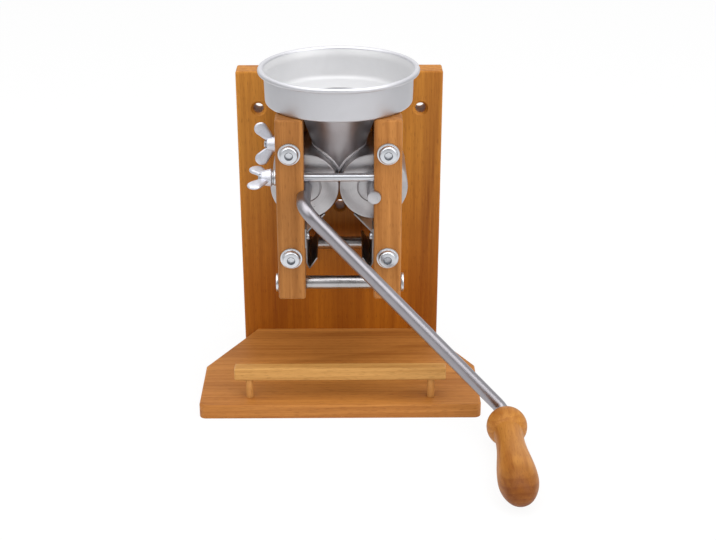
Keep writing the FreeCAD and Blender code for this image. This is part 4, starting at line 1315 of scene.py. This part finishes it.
@dataclass
class Hopper(Mill):
    """The spun dish with its rolled rim, and the funnel that is cut to saddle both rollers."""

    axis_y: float = -55.5
    seat: float = 226.1
    deep: float = 25.6
    rim: float = 59.0
    bead: float = 1.9
    wall: float = 54.6
    floor: float = 54.0
    sheet: float = 1.2
    mouth: float = 30.8
    slope: float = 19.0
    tip_height: float = 175.3
    saddle: float = 25.6
    edge: float = 1.15
    edge_gap: float = 0.9
    skin: float = 0.1
    sharp: float = 50.0

    def cone(self, top_radius: float, height: Array) -> Array:
        """A cone's radius: its radius at the seat less the drop times the slope's tangent."""
        return top_radius - (self.seat - height) * math.tan(math.radians(self.slope))

    def throat(self) -> float:
        """The radius of the funnel's inner face at the seat."""
        return self.mouth - self.sheet / math.cos(math.radians(self.slope))

    def round_axis(self, radius: Array, angle: Array, height: Array) -> Array:
        """Points round the hopper's axis: (radius * cos(angle), axis + radius * sin(angle), height)."""
        return np.stack([radius * np.cos(angle), self.axis_y + radius * np.sin(angle), height], axis=-1)

    def make_dish(self) -> None:
        """Makes the dish and its bright inner skin from two closed sections.

        The rim's bead is an arc, and its crest a quarter of an ellipse: centre + (-reach * sin, bead * cos).
        """
        centre = np.array((self.rim - self.bead, self.deep - self.bead))
        throat, sheet = self.throat(), self.sheet
        meet = math.asin((self.wall + 0.75 - centre[0]) / self.bead)
        angle = np.linspace(meet - math.pi / 2, math.pi / 2, 22)
        bead = centre + self.bead * np.stack([np.cos(angle), np.sin(angle)], axis=1)
        crest = np.linspace(0, math.pi / 2, 9)[1:]
        top = centre + np.stack([-(self.bead + 0.3) * np.sin(crest), self.bead * np.cos(crest)], axis=1)
        outer = eased([(throat, sheet / 2), (throat, 0), (self.floor, 0), (self.wall, bead[0, 1]), bead[0]], 2.2, 7)
        inner = eased([top[-1], (self.wall - sheet, centre[1] - 4), (self.floor - sheet, sheet), (throat, sheet),
                       (throat, sheet / 2)], 4.5, 10)
        way = unit(np.gradient(inner, axis=0))
        behind = inner + self.skin * np.stack([-way[:, 1], way[:, 0]], axis=1)
        for name, section, metal in (
                ("spun_dish", (outer, bead[1:], top, behind), DISH_METAL),
                ("bright_dish_inside", (inner, behind[::-1]), BOWL_METAL)):
            shell = turned(np.concatenate(section), (0, self.axis_y, self.seat), Axis.UP, 160, closed=True)
            piece(name, [shell], "hopper", metal, ("hopper_dish",), self.sharp)

    def cut_height(self, angle: Array, top_radius: float, gap: float = 0.0) -> Array:
        """Where each straight line down the cone meets a roller's clearance or the blunt tip.

        A point is inside the cut where its distance from a roller's axis is under the saddle's radius.

        Args:
            angle: The lines' angles round the funnel.
            top_radius: The cone's radius at the seat.
            gap: How much further than the cut the lines stay from the rollers and the tip.

        Returns:
            The lowest height of each line.
        """
        height = np.linspace(self.seat, self.tip_height + gap, 900)[:, None]
        reach = np.abs(self.cone(top_radius, height) * np.cos(angle)[None, :]) - self.roller_x
        inside = reach ** 2 + (height - self.roller_height) ** 2 < (self.saddle + gap) ** 2
        first = np.where(inside.any(axis=0), inside.argmax(axis=0), len(height) - 1)
        return height[first, 0]

    def rolled_edge(self, angle: Array) -> Surface:
        """The bead along the funnel's cut: circles round the closed line of the cut.

        Args:
            angle: The angles round the funnel.

        Returns:
            The surface of the bead.
        """
        middle = self.mouth - self.sheet / 2
        height = self.cut_height(angle, middle, self.edge_gap)
        path = self.round_axis(self.cone(middle, height), angle, height)
        way = unit(np.roll(path, -2, axis=0) - np.roll(path, 2, axis=0))
        across = unit(np.cross(way, Axis.UP.circle(angle)))
        return Surface(around(path, np.cross(across, way), across, self.edge, 12), wrap_rows=True)

    def make_funnel(self) -> None:
        """Makes the funnel: three cones, each carried down to its own cut, with a bead along the cut whose
        near-white colour is a painted highlight.

        The sheet lies between the outer and the middle cone, and its bright inner skin between the middle and
        the inner one.
        """
        angle = angles(240)
        way = np.linspace(0, 1, 26)[:, None]
        cones = []
        for top_radius in (self.mouth, self.throat() + self.skin, self.throat()):
            height = self.seat + way * (self.cut_height(angle, top_radius) - self.seat)
            cones.append(self.round_axis(self.cone(top_radius, height), angle, height))
        outer, middle, inner = cones
        wall = Surface(np.concatenate([outer, middle[::-1]]), wrap_rows=True)
        lining = Surface(np.concatenate([middle, inner[::-1]]), wrap_rows=True)
        for name, surface, metal in (("saddle_funnel", wall, FUNNEL_METAL),
                                     # The rolled edge's near-white metal is a painted highlight.
                                     ("rolled_funnel_edge", self.rolled_edge(angle), EDGE_HIGHLIGHT_METAL),
                                     ("funnel_lining", lining, BOWL_METAL)):
            piece(name, [surface], "hopper", metal, ("hopper_funnel",))

    def build(self) -> None:
        """Builds the hopper."""
        self.make_dish()
        self.make_funnel()


@dataclass
class Studio:
    """The pale floor, the soft light and the camera.

    Attributes:
        camera_at: The camera's place, in millimetres.
        pitch: How far it looks down, in degrees.
        yaw: How far it looks to the right, in degrees.
        roll: How far it is turned about its view, in degrees.
        focal: Its focal length in pixels.
        wide: The photograph's width in pixels.
        sensor: The width of its sensor, in millimetres.
        aim: Where the lamps point, in millimetres.
        lamps: Each lamp's place and size in millimetres, and its power in watts.
        room: The strength of the even light.
        falls: What metal sees of the room: for an axis's number, the two values between which the room goes
            from a grey to white.
    """

    camera_at: Triple = (7.48, -998.21, 515.3)
    pitch: float = 24.30
    yaw: float = 0.39
    roll: float = -0.06
    focal: float = 1335.84
    wide: int = 716
    sensor: float = 36.0
    aim: Triple = (0.0, -60.0, 130.0)
    lamps: dict[str, tuple[Triple, float, float]] = field(default_factory=lambda: {
        "left_softbox": ((-900.0, -900.0, 1100.0), 1300.0, 6.0),
        "right_softbox": ((1000.0, -900.0, 900.0), 1300.0, 10.0),
        "top_softbox": ((0.0, -200.0, 1500.0), 1500.0, 12.0)})
    room: float = 0.68
    falls: tuple[tuple[int, float, float, float], ...] = (
        (1, -0.95, -0.3, 0.22), (0, 1.0, 0.5, 0.55), (0, -1.0, -0.5, 0.55))

    def paint_floor(self) -> bpy.types.Material:
        """Makes the floor's paint, which the camera sees nearly white and metal sees fade to the sides.

        Returns:
            The material.
        """
        nodes = Nodes("pale_floor_paint")
        nodes.set("Base Color", (0.95, 0.95, 0.95))
        nodes.set("Roughness", 0.9)
        paths = nodes.add("LightPath").outputs
        mirrored = nodes.math("ADD", paths["Is Glossy Ray"], paths["Is Transmission Ray"])
        seen = nodes.blend((paths["Is Camera Ray"], 0.9), (mirrored, 0.9))
        across = nodes.math("ABSOLUTE", nodes.split(nodes.coordinates())[0])
        aside = nodes.math("MULTIPLY", nodes.math("SUBTRACT", across, 0.2), 1.4, clamp=True)
        loss = nodes.math("MULTIPLY", nodes.math("MULTIPLY", mirrored, aside), 0.6)
        glow = nodes.add("Emission")
        nodes.feed(glow.inputs["Strength"], nodes.math("SUBTRACT", 1.0, loss))
        nodes.feed(nodes.output.inputs[0], nodes.mix_shaders(seen, nodes.shader.outputs[0], glow.outputs[0]))
        return nodes.material

    def make_floor(self) -> None:
        """Makes the floor: a flat disc of rings whose radius grows with the power 1.5 of their number."""
        radius, angle = np.meshgrid(6000.0 * np.linspace(0, 1, 24) ** 1.5, angles(64), indexing="ij")
        height = np.full_like(radius, -0.2)
        points = np.stack([radius * np.cos(angle), radius * np.sin(angle), height], axis=-1)
        mesh = bpy.data.meshes.new("pale_floor")
        mesh.from_pydata((points.reshape(-1, 3) * MM).tolist(), [], Surface(points).quads(0).tolist())
        mesh.materials.append(self.paint_floor())
        floor = bpy.data.objects.new("pale_floor", mesh)
        bpy.context.scene.collection.objects.link(floor)

    def mirrored_room(self, graph: Graph) -> Socket:
        """What metal sees of the room: white behind, and greyer in front at eye height and to the sides.

        Args:
            graph: The world's nodes.

        Returns:
            The product of the falls, as an output.
        """
        ways = graph.split(graph.add("TexCoord").outputs["Generated"])
        total = None
        for number, low, high, grey in self.falls:
            fall = graph.add("MapRange")
            for name, value in (("From Min", low), ("From Max", high), ("To Min", grey), ("Value", ways[number])):
                graph.feed(fall.inputs[name], value)
            total = graph.math("MULTIPLY", total, fall.outputs[0]) if total else fall.outputs[0]
        return total

    def light_world(self) -> None:
        """Lights the room evenly. The camera sees it white."""
        world = bpy.data.worlds.new("soft_room")
        bpy.context.scene.world = world
        world.use_nodes = True
        graph = Graph(world.node_tree)
        even, mirrored, seen = (graph.add("Background") for _ in range(3))
        for light in (even, seen):
            graph.feed(light.inputs["Color"], (1.0, 1.0, 1.0))
        graph.feed(even.inputs["Strength"], self.room)
        graph.feed(mirrored.inputs["Color"], self.mirrored_room(graph))
        paths = graph.add("LightPath").outputs
        either = graph.math("ADD", paths["Is Glossy Ray"], paths["Is Transmission Ray"])
        glossy = graph.mix_shaders(either, even.outputs[0], mirrored.outputs[0])
        camera = graph.mix_shaders(paths["Is Camera Ray"], glossy, seen.outputs[0])
        graph.feed(graph.add("OutputWorld").inputs[0], camera)

    def add_lamps(self) -> None:
        """Adds square soft lamps that face the mill."""
        for name, (place, size, power) in self.lamps.items():
            data = bpy.data.lights.new(name, "AREA")
            data.size = size * MM
            data.energy = power
            lamp = bpy.data.objects.new(name, data)
            way = np.array(self.aim) - np.array(place)
            lamp.location = np.array(place) * MM
            lamp.rotation_euler = (math.atan2(math.hypot(way[0], way[1]), -way[2]), 0.0, math.atan2(-way[0], way[1]))
            bpy.context.scene.collection.objects.link(lamp)

    def add_camera(self) -> None:
        """Puts the camera where the photograph was taken from."""
        data = bpy.data.cameras.new("photo_camera")
        data.sensor_width = self.sensor
        data.lens = self.focal / self.wide * self.sensor
        data.clip_end = 50
        camera = bpy.data.objects.new("photo_camera", data)
        yaw, pitch, roll = (Matrix.Rotation(math.radians(angle), 3, axis) for angle, axis in (
            (-self.yaw, "Z"), (90 - self.pitch, "X"), (self.roll, "Z")))
        camera.location = [v * MM for v in self.camera_at]
        camera.rotation_euler = (yaw @ pitch @ roll).to_euler()
        bpy.context.scene.collection.objects.link(camera)
        bpy.context.scene.camera = camera

    def build(self) -> None:
        """Builds the studio."""
        self.make_floor()
        self.light_world()
        self.add_lamps()
        self.add_camera()
        bpy.context.scene.view_settings.view_transform = "Standard"


def main() -> None:
    """Builds every part of the scene in order."""
    logging.basicConfig(level=logging.INFO, format="%(name)s: %(message)s")
    for maker in (Stand(), Cheeks(), Clamps(), Rollers(), Scrapers(), Crank(), Hopper(), Studio()):
        maker.build()
        LOG.info("%s built", type(maker).__name__)


if __name__ == "__main__":
    main()
